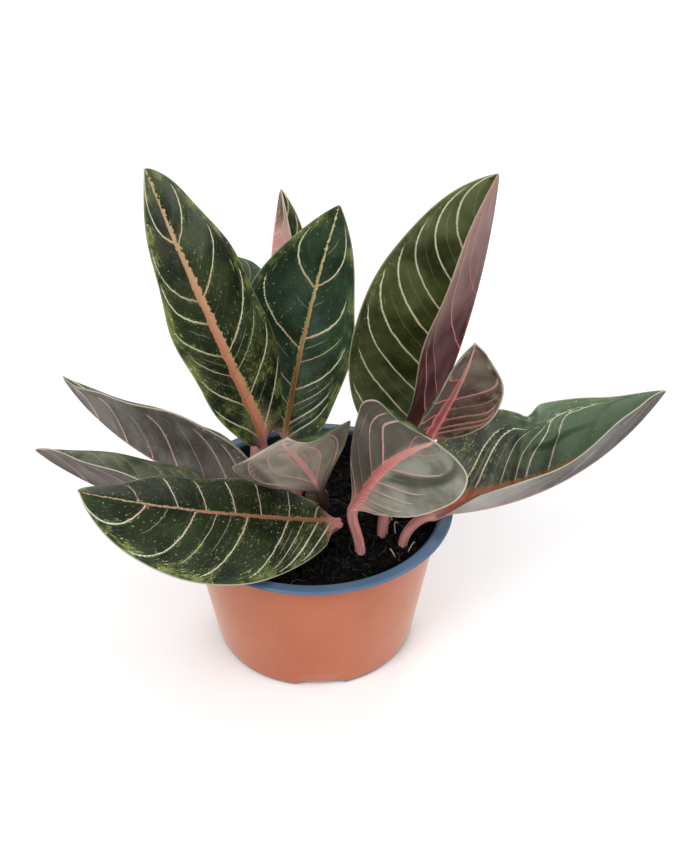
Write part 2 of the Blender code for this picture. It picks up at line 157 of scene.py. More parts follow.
# Each leaf: root is where its petiole enters the soil, base is where the blade begins. heading is the
# compass of the blade, 0 along +X and 90 along +Y, and rise its climb. roll lifts the right edge, arch
# bends the tip down and sweep bends it to the right, all seen along the leaf. arch_tip and sweep_tip move
# those two bends towards the tip, or below zero towards the base, and twist turns the blade on its way.
# full and taper shape the outline towards the base and the tip. fold lifts each half from the midrib, open
# adds to the fold towards the tip and curl bends each half further. wave is the height of each margin's
# waves and waves their number.
LEAVES = {
    "leaf_tall_left": dict(
        root=(-11, 4), base=(-20, -5, 104), heading=150, rise=64.5, roll=-2.5, arch=-21, arch_tip=0.2,
        sweep=-21, twist=-5, length=141, width=62, full=0.63, taper=0.81, fold=(16, 17),
        curl=(-16, -15), open=(-7, -9), wave=(1.0, 1.0), waves=3.0),
    "leaf_tall_middle": dict(
        root=(-8, 13), base=(-14, 26, 85), heading=50.5, rise=76, roll=-1, arch=-5, arch_tip=0,
        sweep=12, twist=-16, length=120, width=65, full=0.55, taper=0.84, fold=(24, 24),
        curl=(-5, -6), open=(14, -4), wave=(1.0, 1.0), waves=2.5),
    "leaf_young_rolled": dict(
        root=(-10, 33), base=(-18, 62, 98), heading=177, rise=86, roll=-5, arch=-14, arch_tip=0.2,
        sweep=-16, twist=8, length=108, width=43, full=0.65, taper=0.93, fold=(57, 58),
        curl=(-10, -9), open=(-9, 2), wave=(0.5, 0.5), waves=2.0),
    "leaf_tall_right": dict(
        root=(42, 11), base=(46, 15, 87), heading=-13, rise=71, roll=-42.5, arch=-31, arch_tip=-0.3,
        sweep=18, twist=5, length=179, width=90, full=0.51, taper=0.89, fold=(55, 55),
        curl=(4, 2), open=(-18, 4), wave=(1.0, 1.0), waves=3.0),
    "leaf_small_right": dict(
        root=(31, -15), base=(47, -28, 126), heading=-57, rise=59, roll=6, arch=4, arch_tip=0,
        sweep=18, twist=5, length=87, width=41, full=0.60, taper=1.00, fold=(-7, -6),
        curl=(-42, -43), open=(5, 6), wave=(0.8, 0.8), waves=2.0),
    "leaf_side_right": dict(
        root=(40, -22), base=(53, -18, 79), heading=14, rise=-9, roll=9, arch=-35, arch_tip=0.1,
        sweep=-29, sweep_tip=-0.7, twist=5, length=148, width=88, full=0.38, taper=0.87, fold=(51, 54),
        curl=(-6, -5), open=(-4, 13), wave=(2.0, 0.4), waves=3.0),
    "leaf_front_left": dict(
        root=(4, -20), base=(12, -24, 79), heading=203, rise=19, roll=19, arch=-18, arch_tip=0,
        sweep=-5, twist=-3, length=127, width=62, full=0.70, taper=0.69, fold=(-8, -7),
        curl=(-32, -32), open=(-4, -18), wave=(1.0, 1.0), waves=3.0),
    "leaf_side_left": dict(
        root=(-15, -6), base=(-22, 3, 70), heading=170, rise=7, roll=-36, arch=-33, arch_tip=-0.1,
        sweep=35, twist=6, length=131, width=62, full=0.63, taper=1.14, fold=(51, 47),
        curl=(0, -3), open=(-14, 2), wave=(1.0, 1.0), waves=3.0),
    "leaf_low_left": dict(
        root=(-14, -15), base=(-28, -20, 75), heading=173.5, rise=1.5, roll=-22.5, arch=-19, arch_tip=0.2,
        sweep=32, twist=-4, length=116, width=49, full=0.65, taper=0.89, fold=(44, 43),
        curl=(-8, -10), open=(8, 5), wave=(0.8, 0.8), waves=2.5),
    "leaf_front_small": dict(
        root=(3, -9), base=(3, -19, 93), heading=-150, rise=66, roll=-69, arch=47, arch_tip=-1.0,
        sweep=-19, sweep_tip=1.3, twist=-5, length=98, width=54, full=0.40, taper=1.07, fold=(-2, 5),
        curl=(-1, -1), open=(-40, -12), wave=(0.6, 0.6), waves=2.0),
    "leaf_front_middle": dict(
        root=(21, -27), base=(19, -27, 88), heading=-35, rise=73, roll=101, arch=41, arch_tip=1.0,
        sweep=-33, sweep_tip=-1.5, twist=24, length=105, width=54, full=0.73, taper=0.71, fold=(21, -8),
        curl=(1, -20), open=(25, -40), wave=(0.8, 0.8), waves=2.5),
    "leaf_back_left": dict(
        root=(-29, 35), base=(-27, 75, 93), heading=108, rise=45, roll=3, arch=56, arch_tip=0,
        sweep=-18, twist=3, length=95, width=41, full=0.60, taper=0.88, fold=(22, 22),
        curl=(-12, -12), open=(0, 0), wave=(1.2, 1.2), waves=3.0),
    "leaf_back_right": dict(
        root=(29, 27), base=(37, 35, 89), heading=70, rise=53, roll=0, arch=44, arch_tip=0,
        sweep=-15, twist=1, length=118, width=50, full=0.60, taper=0.88, fold=(20, 20),
        curl=(-12, -12), open=(0, 0), wave=(1.2, 1.2), waves=3.0),
}

# Side veins of the left and the right half: the shares of the blade's length at which the strong, main and
# thin ones leave the midrib, the length over which they run outwards, and how far towards the margin they
# then are. run and reach each give the value at the base and at the tip. bend is how strongly they turn
# forward on the way. drift is how they go on after that, below zero back towards the midrib, and shown how
# far along the blade they show. With lean instead, they run straight to the margin and reach it that share
# further on, or further back. UNSEEN serves the halves whose veins the photograph doesn't show.
UNSEEN = dict(
    main=(0.05, 0.16, 0.29, 0.43, 0.58, 0.75), thin=(0.22, 0.50), run=(0.3, 0.3), reach=(0.96, 0.9))
VEINS = {
    "leaf_tall_left": (
        dict(main=(0.01, 0.15, 0.33, 0.45, 0.53, 0.74), thin=(0.26,), run=(0.29, 0.36), reach=(0.96, 1.0)),
        dict(main=(0.05, 0.17, 0.33, 0.53, 0.72), thin=(0.26,), run=(0.22, 0.22), reach=(1.0, 0.80))),
    "leaf_tall_middle": (
        dict(main=(0.24, 0.40, 0.66), thin=(0.08, 0.16), run=(0.42, 0.26), reach=(1.0, 0.80)),
        dict(main=(0.0, 0.08, 0.23, 0.45, 0.67), thin=(0.16, 0.35), run=(0.35, 0.28), reach=(0.90, 0.75))),
    "leaf_young_rolled": (UNSEEN, UNSEEN),
    "leaf_tall_right": (
        dict(main=(-0.06, 0.07, 0.16, 0.24, 0.34, 0.43, 0.53, 0.64), thin=(), run=(0.33, 0.56),
             reach=(0.98, 0.88)),
        dict(main=(0.05, 0.38), thin=(0.17, 0.57), run=(0.75, 0.78), reach=(0.97, 1.0))),
    "leaf_small_right": (
        dict(main=(0.02, 0.08, 0.17, 0.39), thin=(0.28,), run=(0.36, 0.42), reach=(0.96, 0.85), bend=3.0),
        dict(main=(0.04, 0.14, 0.26, 0.42), thin=(0.62,), run=(0.24, 0.30), reach=(1.0, 0.85))),
    "leaf_side_right": (
        dict(main=(0.05, 0.10, 0.30, 0.39), thin=(0.20, 0.26), run=(0.38, 0.55), reach=(0.78, 1.15)),
        dict(main=(0.08, 0.42), thin=(0.24, 0.62), run=(0.50, 0.50), reach=(1.0, 0.9))),
    "leaf_front_left": (
        dict(main=(0.02, 0.08, 0.20, 0.36, 0.56, 0.75), thin=(0.14, 0.48), run=(0.18, 0.42),
             reach=(0.95, 1.0)),
        dict(main=(0.03, 0.10, 0.20, 0.31, 0.41, 0.52, 0.63, 0.78), thin=(), lean=-0.05)),
    "leaf_side_left": (
        dict(main=(0.03, 0.12, 0.33, 0.56, 0.72), thin=(0.22, 0.44), run=(0.22, 0.17), reach=(0.92, 0.80)),
        UNSEEN),
    "leaf_low_left": (
        dict(main=(0.10, 0.36, 0.68), thin=(0.23, 0.50), run=(0.35, 0.35), reach=(1.0, 0.95)),
        UNSEEN),
    "leaf_front_small": (
        dict(main=(-0.03, 0.05), thin=(0.01, 0.16, 0.40), run=(0.13, 0.25), reach=(0.72, -7.0), bend=1.7,
             drift=-0.10, shown=0.45),
        dict(main=(-0.03, 0.05), thin=(0.0, 0.14, 0.40), run=(0.16, 0.25), reach=(0.86, -6.6), bend=1.7,
             drift=-0.11, shown=0.62)),
    "leaf_front_middle": (
        dict(main=(0.03, 0.08, 0.15, 0.21, 0.33), thin=(0.0, 0.055, 0.11, 0.52), run=(0.05, 1.2),
             reach=(0.95, -0.2)),
        dict(strong=(0.32,), main=(0.02, 0.21), thin=(0.11, 0.55), run=(0.14, 0.34), reach=(1.0, -0.45),
             drift=0.0, shown=0.50)),
    "leaf_back_left": (UNSEEN, UNSEEN),
    "leaf_back_right": (UNSEEN, UNSEEN),
}

# Pale roots: place on the soil, height, sideways bow and outward reach
PALE_ROOTS = (
    (36.0, -5.0, 8.0, -2.0, 1.0),
    (33.0, -9.8, 7.0, 1.5, 1.5),
    (37.4, -13.6, 8.5, -1.5, 2.0),
    (42.0, -27.0, 7.0, 1.8, 1.5),
    (37.0, -30.6, 6.0, -2.0, -1.5),
    (41.0, -34.0, 4.0, 2.0, 2.0),
)

# Canes: foot in the soil, height above the soil, lean of the top and number of rings
CANES = {
    "cane_left": dict(foot=(-2, 22), radius=4.6, height=24.0, lean=(-1.5, 1.0), rings=3),
    "cane_front": dict(foot=(-1, 3), radius=4.2, height=12.0, lean=(0.5, 1.0), rings=1),
    "cane_right": dict(foot=(33, 4), radius=4.6, height=22.0, lean=(-1.0, 0.5), rings=3),
}

# Colours of the leaves' two faces, in linear light, and their markings. mottle, flecks, streaks, patch,
# fill and margins are the strengths of those markings, second that of the broken lines between the veins,
# and spread and low how thickly the mottles crowd everywhere and at the base. rib and vein are half widths
# in millimetres, ragged is the unevenness of the midrib and rib_shape how early it narrows. far is a tint
# towards the tip, which comes in over far_span: the tip's own colour, or on leaf_side_right's top the lit
# green beyond its painted shadow. tint is the share of tint_colour on the right half, or on both with
# tint_both, from tint_from millimetres beyond the midrib. shade is painted shade in a fold beside the vein
# numbered shade_at, in shade_colour.
TOP = dict(
    dark=(0.011, 0.022, 0.008), mid=(0.028, 0.050, 0.019), pale=(0.085, 0.125, 0.055),
    lime=(0.17, 0.20, 0.035), fleck=(0.30, 0.34, 0.15), speck=(0.55, 0.55, 0.36),
    vein_in=(0.62, 0.38, 0.26), vein_out=(0.62, 0.61, 0.42), rib_base=(0.48, 0.15, 0.085),
    rib_tip=(0.60, 0.40, 0.24), rib_edge=(0.50, 0.36, 0.20), margin=(0.40, 0.42, 0.28),
    far=(0.085, 0.125, 0.050), far_share=0.0, far_span=(0.15, 0.9), tint_colour=(0.03, 0.05, 0.02),
    tint=0.0, tint_both=0.0, tint_from=0.0, shade_colour=(0.045, 0.045, 0.034), shade=0.0, shade_at=0.0,
    mottle=0.7, spread=0.11, flecks=0.6, streaks=0.25, patch=0.2, low=0.5, fill=0.0, margins=0.35, rib=1.5,
    rib_shape=0.9, ragged=1.0, vein=0.36, second=0.35, stalk_low=(0.42, 0.15, 0.14),
    stalk_high=(0.58, 0.30, 0.28), roughness=0.38, shine=0.35)
UNDER = dict(
    TOP, dark=(0.10, 0.09, 0.068), mid=(0.19, 0.18, 0.145), pale=(0.30, 0.29, 0.25),
    lime=(0.22, 0.23, 0.14), fleck=(0.28, 0.26, 0.20), speck=(0.48, 0.43, 0.35), vein_in=(0.62, 0.22, 0.20),
    vein_out=(0.58, 0.40, 0.34), rib_base=(0.58, 0.16, 0.155), rib_tip=(0.66, 0.42, 0.36),
    rib_edge=(0.58, 0.26, 0.23), margin=(0.58, 0.50, 0.40), mottle=0.15, spread=0.10, flecks=0.3, patch=0.1,
    low=0.3, margins=0.75, rib=2.2, ragged=0.5, second=0.25, roughness=0.55, shine=0.25)
TOP_LOOKS = {
    "leaf_tall_left": dict(
        dark=(0.006, 0.012, 0.004), mid=(0.026, 0.038, 0.012), pale=(0.12, 0.155, 0.085),
        lime=(0.21, 0.24, 0.045), rib_base=(0.68, 0.22, 0.14), rib_tip=(0.52, 0.36, 0.19),
        rib_edge=(0.60, 0.41, 0.22), rib=4.2, rib_shape=0.8, ragged=2.6, mottle=0.9, spread=0.12,
        flecks=1.0, low=1.0, patch=0.4, fill=0.8, shine=0.2, roughness=0.45),
    "leaf_tall_middle": dict(
        dark=(0.009, 0.022, 0.009), mid=(0.018, 0.044, 0.020), pale=(0.055, 0.105, 0.065),
        rib_base=(0.24, 0.066, 0.036), rib_tip=(0.62, 0.54, 0.30), rib_edge=(0.38, 0.34, 0.12), rib=1.9,
        ragged=2.0, mottle=0.8, low=0.8, patch=0.4, shine=0.2),
    "leaf_young_rolled": dict(mottle=1.0, margins=1.0, margin=(0.55, 0.52, 0.28), streaks=0.5),
    "leaf_tall_right": dict(
        dark=(0.021, 0.028, 0.006), mid=(0.064, 0.074, 0.019), pale=(0.15, 0.18, 0.08),
        margin=(0.34, 0.31, 0.20), vein_in=(0.70, 0.54, 0.40), vein_out=(0.74, 0.71, 0.50), vein=0.40,
        second=0.15, rib=0.7, margins=0.9, mottle=0.35, flecks=0.4, streaks=0.15, patch=0.45),
    # Painted shadow: this top's near-black dark and mid stand for the shadow that leaf_small_right casts
    # over the blade towards its base, and far brings in the lit green towards the tip.
    "leaf_side_right": dict(
        dark=(0.005, 0.008, 0.002), mid=(0.016, 0.022, 0.006), pale=(0.10, 0.15, 0.085),
        far=(0.084, 0.138, 0.075), far_span=(0.30, 0.60), far_share=0.9, rib=10.5, rib_shape=0.8,
        ragged=3.4, rib_base=(0.60, 0.13, 0.07), rib_tip=(0.50, 0.18, 0.10), rib_edge=(0.22, 0.085, 0.028),
        low=0.8, margins=0.7, mottle=0.6, vein=0.34, second=0.15),
    "leaf_front_left": dict(
        dark=(0.006, 0.011, 0.004), mid=(0.015, 0.023, 0.008), rib_base=(0.34, 0.10, 0.065),
        rib_tip=(0.46, 0.34, 0.24), rib_edge=(0.20, 0.13, 0.07), rib=1.0, ragged=1.3,
        vein_in=(0.52, 0.34, 0.26), vein_out=(0.55, 0.54, 0.40), vein=0.33, mottle=0.9, flecks=1.0, low=0.6,
        margins=0.9, patch=0.3, shine=0.14, roughness=0.50),
    "leaf_low_left": dict(
        dark=(0.050, 0.060, 0.035), mid=(0.11, 0.12, 0.080), pale=(0.19, 0.21, 0.15),
        lime=(0.16, 0.17, 0.09), vein_in=(0.22, 0.21, 0.14), vein_out=(0.24, 0.25, 0.17), vein=0.10,
        second=0.0, flecks=0.8, patch=0.6),
    "leaf_back_left": dict(
        dark=(0.008, 0.014, 0.006), mid=(0.018, 0.030, 0.014), vein=0.0, second=0.0, flecks=0.2, mottle=0.2,
        margins=0.2),
}
UNDER_LOOKS = {
    "leaf_young_rolled": dict(
        dark=(0.52, 0.25, 0.23), mid=(0.68, 0.42, 0.38), pale=(0.78, 0.64, 0.58), streaks=0.9,
        far=(0.080, 0.045, 0.022), far_span=(0.74, 0.90), far_share=1.0),
    "leaf_tall_right": dict(
        dark=(0.034, 0.003, 0.0045), mid=(0.060, 0.008, 0.010), pale=(0.11, 0.030, 0.032),
        far=(0.26, 0.165, 0.150), far_share=1.0, far_span=(0.40, 0.95), vein_in=(0.50, 0.08, 0.12),
        vein_out=(0.46, 0.20, 0.20), second=0.0, rib=0.8, rib_base=(0.24, 0.08, 0.09),
        rib_tip=(0.36, 0.26, 0.24), rib_edge=(0.24, 0.13, 0.13), margins=0.5, margin=(0.40, 0.34, 0.24),
        flecks=0.2, patch=0.0, shine=0.05, roughness=0.62),
    "leaf_small_right": dict(
        dark=(0.048, 0.014, 0.009), mid=(0.115, 0.074, 0.046), pale=(0.22, 0.19, 0.14),
        lime=(0.17, 0.18, 0.085), fleck=(0.32, 0.28, 0.20), tint_colour=(0.050, 0.010, 0.012), tint=0.8,
        mottle=0.8, flecks=0.9, patch=0.5, rib=3.6, rib_shape=1.3, rib_base=(0.62, 0.11, 0.12),
        rib_tip=(0.46, 0.30, 0.22), vein_in=(0.60, 0.13, 0.13), vein_out=(0.52, 0.23, 0.19), vein=0.60,
        second=0.15),
    "leaf_side_right": dict(
        dark=(0.26, 0.24, 0.22), mid=(0.40, 0.38, 0.35), pale=(0.24, 0.22, 0.20), far=(0.062, 0.054, 0.047),
        far_span=(0.04, 0.48), far_share=1.0, rib=0.9, rib_base=(0.50, 0.20, 0.19),
        rib_tip=(0.34, 0.30, 0.28), rib_edge=(0.32, 0.22, 0.20), vein_in=(0.36, 0.28, 0.26),
        vein_out=(0.34, 0.30, 0.28), vein=0.18, second=0.0, patch=0.5),
    "leaf_side_left": dict(
        dark=(0.060, 0.050, 0.043), mid=(0.13, 0.115, 0.10), vein_in=(0.52, 0.28, 0.25),
        vein_out=(0.42, 0.31, 0.27), vein=0.5, second=0.1, rib=0.9, rib_base=(0.34, 0.14, 0.14),
        rib_tip=(0.22, 0.16, 0.14), rib_edge=(0.20, 0.12, 0.11), patch=0.25, flecks=0.6),
    "leaf_low_left": dict(
        dark=(0.045, 0.034, 0.029), mid=(0.092, 0.070, 0.060), vein_in=(0.40, 0.22, 0.20),
        vein_out=(0.34, 0.22, 0.19), vein=0.3, second=0.1, rib=0.9, rib_base=(0.30, 0.15, 0.14),
        rib_tip=(0.24, 0.17, 0.15), rib_edge=(0.22, 0.14, 0.12)),
    "leaf_front_small": dict(
        dark=(0.27, 0.235, 0.185), mid=(0.48, 0.42, 0.34), lime=(0.34, 0.33, 0.22),
        fleck=(0.52, 0.48, 0.38), tint_colour=(0.085, 0.068, 0.055), tint=0.65, tint_both=1.0,
        tint_from=15.0, mottle=0.35, flecks=0.5, rib=1.2, ragged=0.3, rib_base=(0.62, 0.26, 0.24),
        rib_tip=(0.74, 0.50, 0.42), rib_edge=(0.62, 0.38, 0.34), vein_in=(0.66, 0.34, 0.30),
        # Painted shade: the near-black stalk colours stand for the shade that this petiole stands in
        vein_out=(0.64, 0.42, 0.36), vein=0.42, margins=1.0, stalk_low=(0.02, 0.009, 0.008),
        stalk_high=(0.05, 0.020, 0.017)),
    "leaf_front_middle": dict(
        dark=(0.13, 0.13, 0.10), mid=(0.25, 0.255, 0.205), pale=(0.38, 0.38, 0.32),
        # shade paints shade into a fold between two veins of the lower half
        tint_colour=(0.080, 0.068, 0.056), tint=0.8, shade=0.85, shade_at=8.55, fill=0.4, patch=0.5,
        margins=1.0, rib=2.6, ragged=1.1, vein_in=(0.60, 0.24, 0.22), vein_out=(0.55, 0.38, 0.33),
        vein=0.38),
}

# Height of the bulges between the veins
QUILT = {"leaf_side_right": 0.8, "leaf_front_middle": 0.9, "leaf_young_rolled": 0.2}
PLAIN_QUILT = 0.5

# Height of the midrib on the underside, as a share of the solid's
KEEL = {
    "leaf_tall_right": 0.4, "leaf_side_right": 0.4, "leaf_side_left": 0.6, "leaf_low_left": 0.6,
    "leaf_front_small": 0.55, "leaf_front_middle": 0.75,
}

# A crease across one half with a dome beside it: where the crease meets the midrib, how far it leans
# forward on its way to the margin, its depth, and the dome's place and height.
CREASES = {"leaf_side_right": dict(side=0, at=0.27, lean=0.22, depth=2.0, dome=(0.56, 0.50), height=3.2)}

# Dips in the margin: the half, where the dip is along the blade, how far it reaches back and ahead from
# there, and the share of the half's width that it takes. A share below zero makes the half wider.
DIPS = {
    "leaf_side_right": (
        (0, 0.49, 0.12, 0.055, 0.14), (0, 0.035, 0.03, 0.06, -0.50), (1, 0.34, 0.18, 0.16, 0.38)),
}


def unit(way):
    return way / np.linalg.norm(way)


def smooth(x):
    x = np.clip(x, 0.0, 1.0)
    return x * x * (3 - 2 * x)


def part_way(start, end, share):
    return start + (end - start) * share


def new_object(name, points, faces, materials, slots=None):
    """A smooth mesh from points in millimetres. slots gives each face's material."""
    mesh = bpy.data.meshes.new(name)
    mesh.from_pydata((np.asarray(points, float) * MM).tolist(), [], faces)
    for used in materials:
        mesh.materials.append(used)
    if slots is not None:
        mesh.polygons.foreach_set("material_index", slots)
    mesh.polygons.foreach_set("use_smooth", [True] * len(mesh.polygons))
    mesh.update()
    made = bpy.data.objects.new(name, mesh)
    bpy.context.scene.collection.objects.link(made)
    return made


def add_vectors(made, name, values):
    attribute = made.data.attributes.new(name, "FLOAT_VECTOR", "POINT")
    attribute.data.foreach_set("vector", np.asarray(values, np.float32).ravel())


def finish_piece(made, slot, *nodes):
    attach(made, "root")
    if nodes:
        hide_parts(*nodes)


# Materials


class Look:
    """A material built node by node. A value sets a socket, and another node's socket is linked to it.
    colour is the surface's colour so far."""

    def __init__(self, name):
        self.material = bpy.data.materials.new(name)
        self.material.use_nodes = True
        self.tree = self.material.node_tree
        self.shader = self.tree.nodes["Principled BSDF"]
        self.colour = None

    def put(self, socket, value):
        if isinstance(value, bpy.types.NodeSocket):
            self.tree.links.new(value, socket)
        elif isinstance(value, tuple) and len(value) == 3 and socket.type == "RGBA":
            socket.default_value = (*value, 1.0)
        else:
            socket.default_value = value

    def node(self, kind, inputs, **settings):
        made = self.tree.nodes.new("ShaderNode" + kind)
        for name, value in settings.items():
            setattr(made, name, value)
        for socket, value in inputs.items():
            self.put(made.inputs[socket], value)
        return made.outputs

    def math(self, operation, *values):
        return self.node("Math", dict(enumerate(values)), operation=operation)[0]

    def times(self, value, *factors):
        for factor in factors:
            value = self.math("MULTIPLY", value, factor)
        return value

    def scaled(self, value, by, plus):
        return self.math("MULTIPLY_ADD", value, by, plus)

    def apart(self, a, b):
        return self.math("ABSOLUTE", self.math("SUBTRACT", a, b))

    def mix(self, share, a, b):
        return self.node("Mix", {0: share, 6: a, 7: b}, data_type="RGBA")[2]

    def over(self, share, added, strength=None):
        """Lay a colour over the surface's colour, as far as share times strength says."""
        if strength is not None:
            share = self.times(share, strength)
        self.colour = self.mix(share, self.colour, added)

    def step(self, value, low, high):
        """0 where value is at or past low, 1 at or past high, and smooth between them."""
        return self.node("MapRange", {0: value, 1: low, 2: high}, interpolation_type="SMOOTHSTEP")[0]

    def vector(self, name):
        return self.node("Attribute", {}, attribute_name=name)["Vector"]

    def split(self, vector):
        return self.node("SeparateXYZ", {0: vector})

    def join(self, x, y, z):
        return self.node("CombineXYZ", {0: x, 1: y, 2: z})[0]

    def stretch(self, vector, scale):
        return self.node("Mapping", {"Vector": vector, "Scale": scale})[0]

    def noise(self, vector, scale, detail, rough=0.5):
        inputs = {"Vector": vector, "Scale": scale, "Detail": detail, "Roughness": rough}
        return self.node("TexNoise", inputs)[0]

    def cells(self, vector, scale):
        """Distance to the nearest of many scattered points, and a random colour for each."""
        outputs = self.node("TexVoronoi", {"Vector": vector, "Scale": scale})
        return outputs["Distance"], outputs["Color"]

    def object_place(self):
        """The place on the object in millimetres."""
        return self.stretch(self.node("TexCoord", {})["Object"], (1 / MM, 1 / MM, 1 / MM))

    def bump(self, height, distance):
        normal = self.node("Bump", {"Distance": distance * MM, "Height": height})[0]
        self.put(self.shader.inputs["Normal"], normal)

    def surface(self, **values):
        """Set the shader's colour and its other values. Returns the finished material."""
        for name, value in dict(values, Base_Color=self.colour).items():
            self.put(self.shader.inputs[name.replace("_", " ")], value)
        return self.material


def leaf_face(name, top):
    """One face of a leaf, with its markings laid out by what blade_grid and build_leaf store."""
    plain, own = (TOP, TOP_LOOKS) if top else (UNDER, UNDER_LOOKS)
    c = SimpleNamespace(**{**plain, **own.get(name, {})})
    look = Look(name + ("_top" if top else "_under"))
    times, scaled, step, noise = look.times, look.scaled, look.step, look.noise
    place = look.vector("place")
    line, per_line, strength = look.split(look.vector("vein"))
    out, second, stalk = look.split(look.vector("zones"))
    margin, along, half = look.split(look.vector("edge"))

    # Ground: large soft patches, with streaks that follow the veins
    ragged = noise(place, 0.9, 3.0, 0.7)
    fine = noise(place, 2.4, 3.0, 0.7)
    large = noise(place, 0.055, 3.0)
    look.colour = look.mix(step(large, 0.36, 0.64), c.dark, c.mid)
    # far: the tip's own tint, or on leaf_side_right's top the lit green beyond the painted shadow near the
    # base
    far = step(scaled(large, FAR_UNEVEN, along), *(end + FAR_UNEVEN / 2 for end in c.far_span))
    look.over(far, c.far, c.far_share)
    look.over(step(noise(place, 0.034, 2.0, 0.6), 0.50, 0.70), c.pale, c.patch)
    streak = noise(look.join(times(line, STREAKS_PER_VEIN), half, 0.0), 1.6, 3.0, 0.6)
    look.over(step(streak, 0.50, 0.74), c.pale, c.streaks)
    tinted = look.math("MAXIMUM", look.split(place)[1], times(out, c.tint_both))
    look.over(step(tinted, c.tint_from, c.tint_from + TINT_EDGE), c.tint_colour, c.tint)
    # Painted shade in the fold beside the vein numbered shade_at, clear of the midrib and the margin
    fold = step(look.apart(line, c.shade_at), 0.5, 0.15)
    look.over(times(fold, step(half, 0.08, 0.25), step(half, 0.85, 0.65)), c.shade_colour, c.shade)
    at_base = times(step(along, 0.17, 0.03), step(out, 12.0, 4.0), step(ragged, 0.34, 0.54))
    look.over(at_base, c.rib_edge, c.fill)

    # Distance to the nearest vein, and to the broken lines half-way between
    line = look.math("ADD", line, scaled(noise(place, 0.20, 2.0), VEIN_WOBBLE, -VEIN_WOBBLE / 2))
    near = look.apart(look.math("FRACT", line), 0.5)
    to_vein = times(look.math("SUBTRACT", 0.5, near), per_line)
    to_second = times(near, per_line)

    # Lime mottles and pale flecks in short dashes along the veins, crowded near margin, base and veins
    crowd = look.math("MAXIMUM", times(step(along, 0.55, 0.05), c.low), times(step(to_vein, 2.6, 0.4), 0.7))
    crowd = look.math("MAXIMUM", step(margin, 8.0, 1.5), crowd)
    cloud = step(noise(place, 0.11, 3.0, 0.6), 0.36, 0.62)
    crowd = times(crowd, scaled(cloud, 0.85, 0.15))
    dashes = look.join(times(line, DASHES_PER_VEIN), times(half, DASHES_ACROSS), along)
    dash = scaled(fine, 0.4, times(noise(dashes, 1.45, 3.0, 0.7), 0.6))
    mottle = step(scaled(crowd, c.spread, dash), 0.57, 0.64)
    look.over(times(mottle, scaled(crowd, 0.9, 0.1)), c.lime, c.mottle)
    light = noise(look.stretch(dashes, (1.3, 0.9, 3.0)), 1.1, 3.0, 0.75)
    look.over(step(scaled(crowd, 0.10, light), 0.63, 0.69), c.fleck, c.flecks)
    dots, kinds = look.cells(place, 0.7)
    dot_size = scaled(crowd, 0.14, scaled(look.split(kinds)[1], 1.2, -1.00))
    look.over(step(look.math("SUBTRACT", dot_size, dots), -0.03, 0.05), c.speck, c.flecks)

    # Side veins: clear ones, and thin broken ones half-way between them
    rough_line = scaled(ragged, VEIN_ROUGHNESS, -VEIN_ROUGHNESS / 2)
    thin = look.math("ADD", to_second, times(rough_line, 2.0))
    second_line = times(step(thin, 0.26, 0.04), times(second, c.second))
    look.over(second_line, c.vein_out)
    wide = scaled(strength, -c.vein, look.math("ADD", to_vein, rough_line))
    worn = scaled(step(noise(place, 0.5, 3.0, 0.7), 0.34, 0.50), 0.35, 0.65)
    vein_line = times(step(wide, 0.16, -0.10), step(strength, 0.02, 0.45), worn)
    look.over(vein_line, look.mix(step(half, 0.05, 0.6), c.vein_in, c.vein_out))

    # Margin and midrib
    look.over(step(margin, 0.70, 0.25), c.margin, c.margins)
    rib_half = scaled(look.math("POWER", look.math("SUBTRACT", 1.0, along), c.rib_shape), c.rib, RIB_TIP)
    uneven = scaled(noise(place, 0.55, 3.0, 0.65), 2 * c.ragged, -c.ragged)
    rib = look.math("DIVIDE", look.math("ADD", out, uneven), rib_half)
    rib_colour = look.mix(step(along, 0.25, 0.95), c.rib_base, c.rib_tip)
    rib_colour = look.mix(times(step(fine, 0.42, 0.62), 0.40), rib_colour, c.rib_edge)
    edge_colour = look.mix(times(step(fine, 0.50, 0.58), c.mottle), c.rib_edge, c.lime)
    look.over(step(rib, 1.15, 0.9), look.mix(step(rib, 0.45, 0.95), rib_colour, edge_colour))

    # Petiole: pink with fine lengthwise streaks, or near black where stalk_low and stalk_high paint shade
    stalk_streak = noise(look.stretch(place, (0.05, 1.6, 1.0)), 1.0, 3.0, 0.6)
    stalk_colour = look.mix(step(stalk_streak, 0.35, 0.7), c.stalk_low, c.stalk_high)
    look.over(stalk, look.mix(times(step(ragged, 0.55, 0.75), 0.3), stalk_colour, c.rib_edge))

    # Veins lie in fine grooves on the upper face and stand out on the underside
    raised = look.math("MAXIMUM", vein_line, times(second_line, 0.5))
    height = scaled(raised, -0.5 if top else 1.0, scaled(streak, 0.35, times(fine, 0.25)))
    look.bump(height, LEAF_GRAIN)
    rough = scaled(ragged, ROUGHNESS_SPAN, c.roughness - ROUGHNESS_SPAN / 2)
    return look.surface(Roughness=rough, Specular_IOR_Level=c.shine)


# Leaves


def soil_height(x, y):
    """Height of the soil's surface, slightly uneven and higher in the middle."""
    bumps = 0.5 * np.sin(0.21 * x + 0.9) * np.cos(0.18 * y - 0.4) + 0.35 * np.sin(0.43 * y + 0.31 * x)
    return SOIL_LEVEL + bumps + SOIL_MOUND * (1 - np.hypot(x, y) / SOIL_EDGE) - SOIL_SINK


def turned(a, b, degrees):
    """Two perpendicular directions turned in their own plane, a towards b."""
    c, s = math.cos(math.radians(degrees)), math.sin(math.radians(degrees))
    return a * c + b * s, b * c - a * s


def cosine_shares(count):
    return (1 - np.cos(np.pi * np.arange(count + 1) / count)) / 2


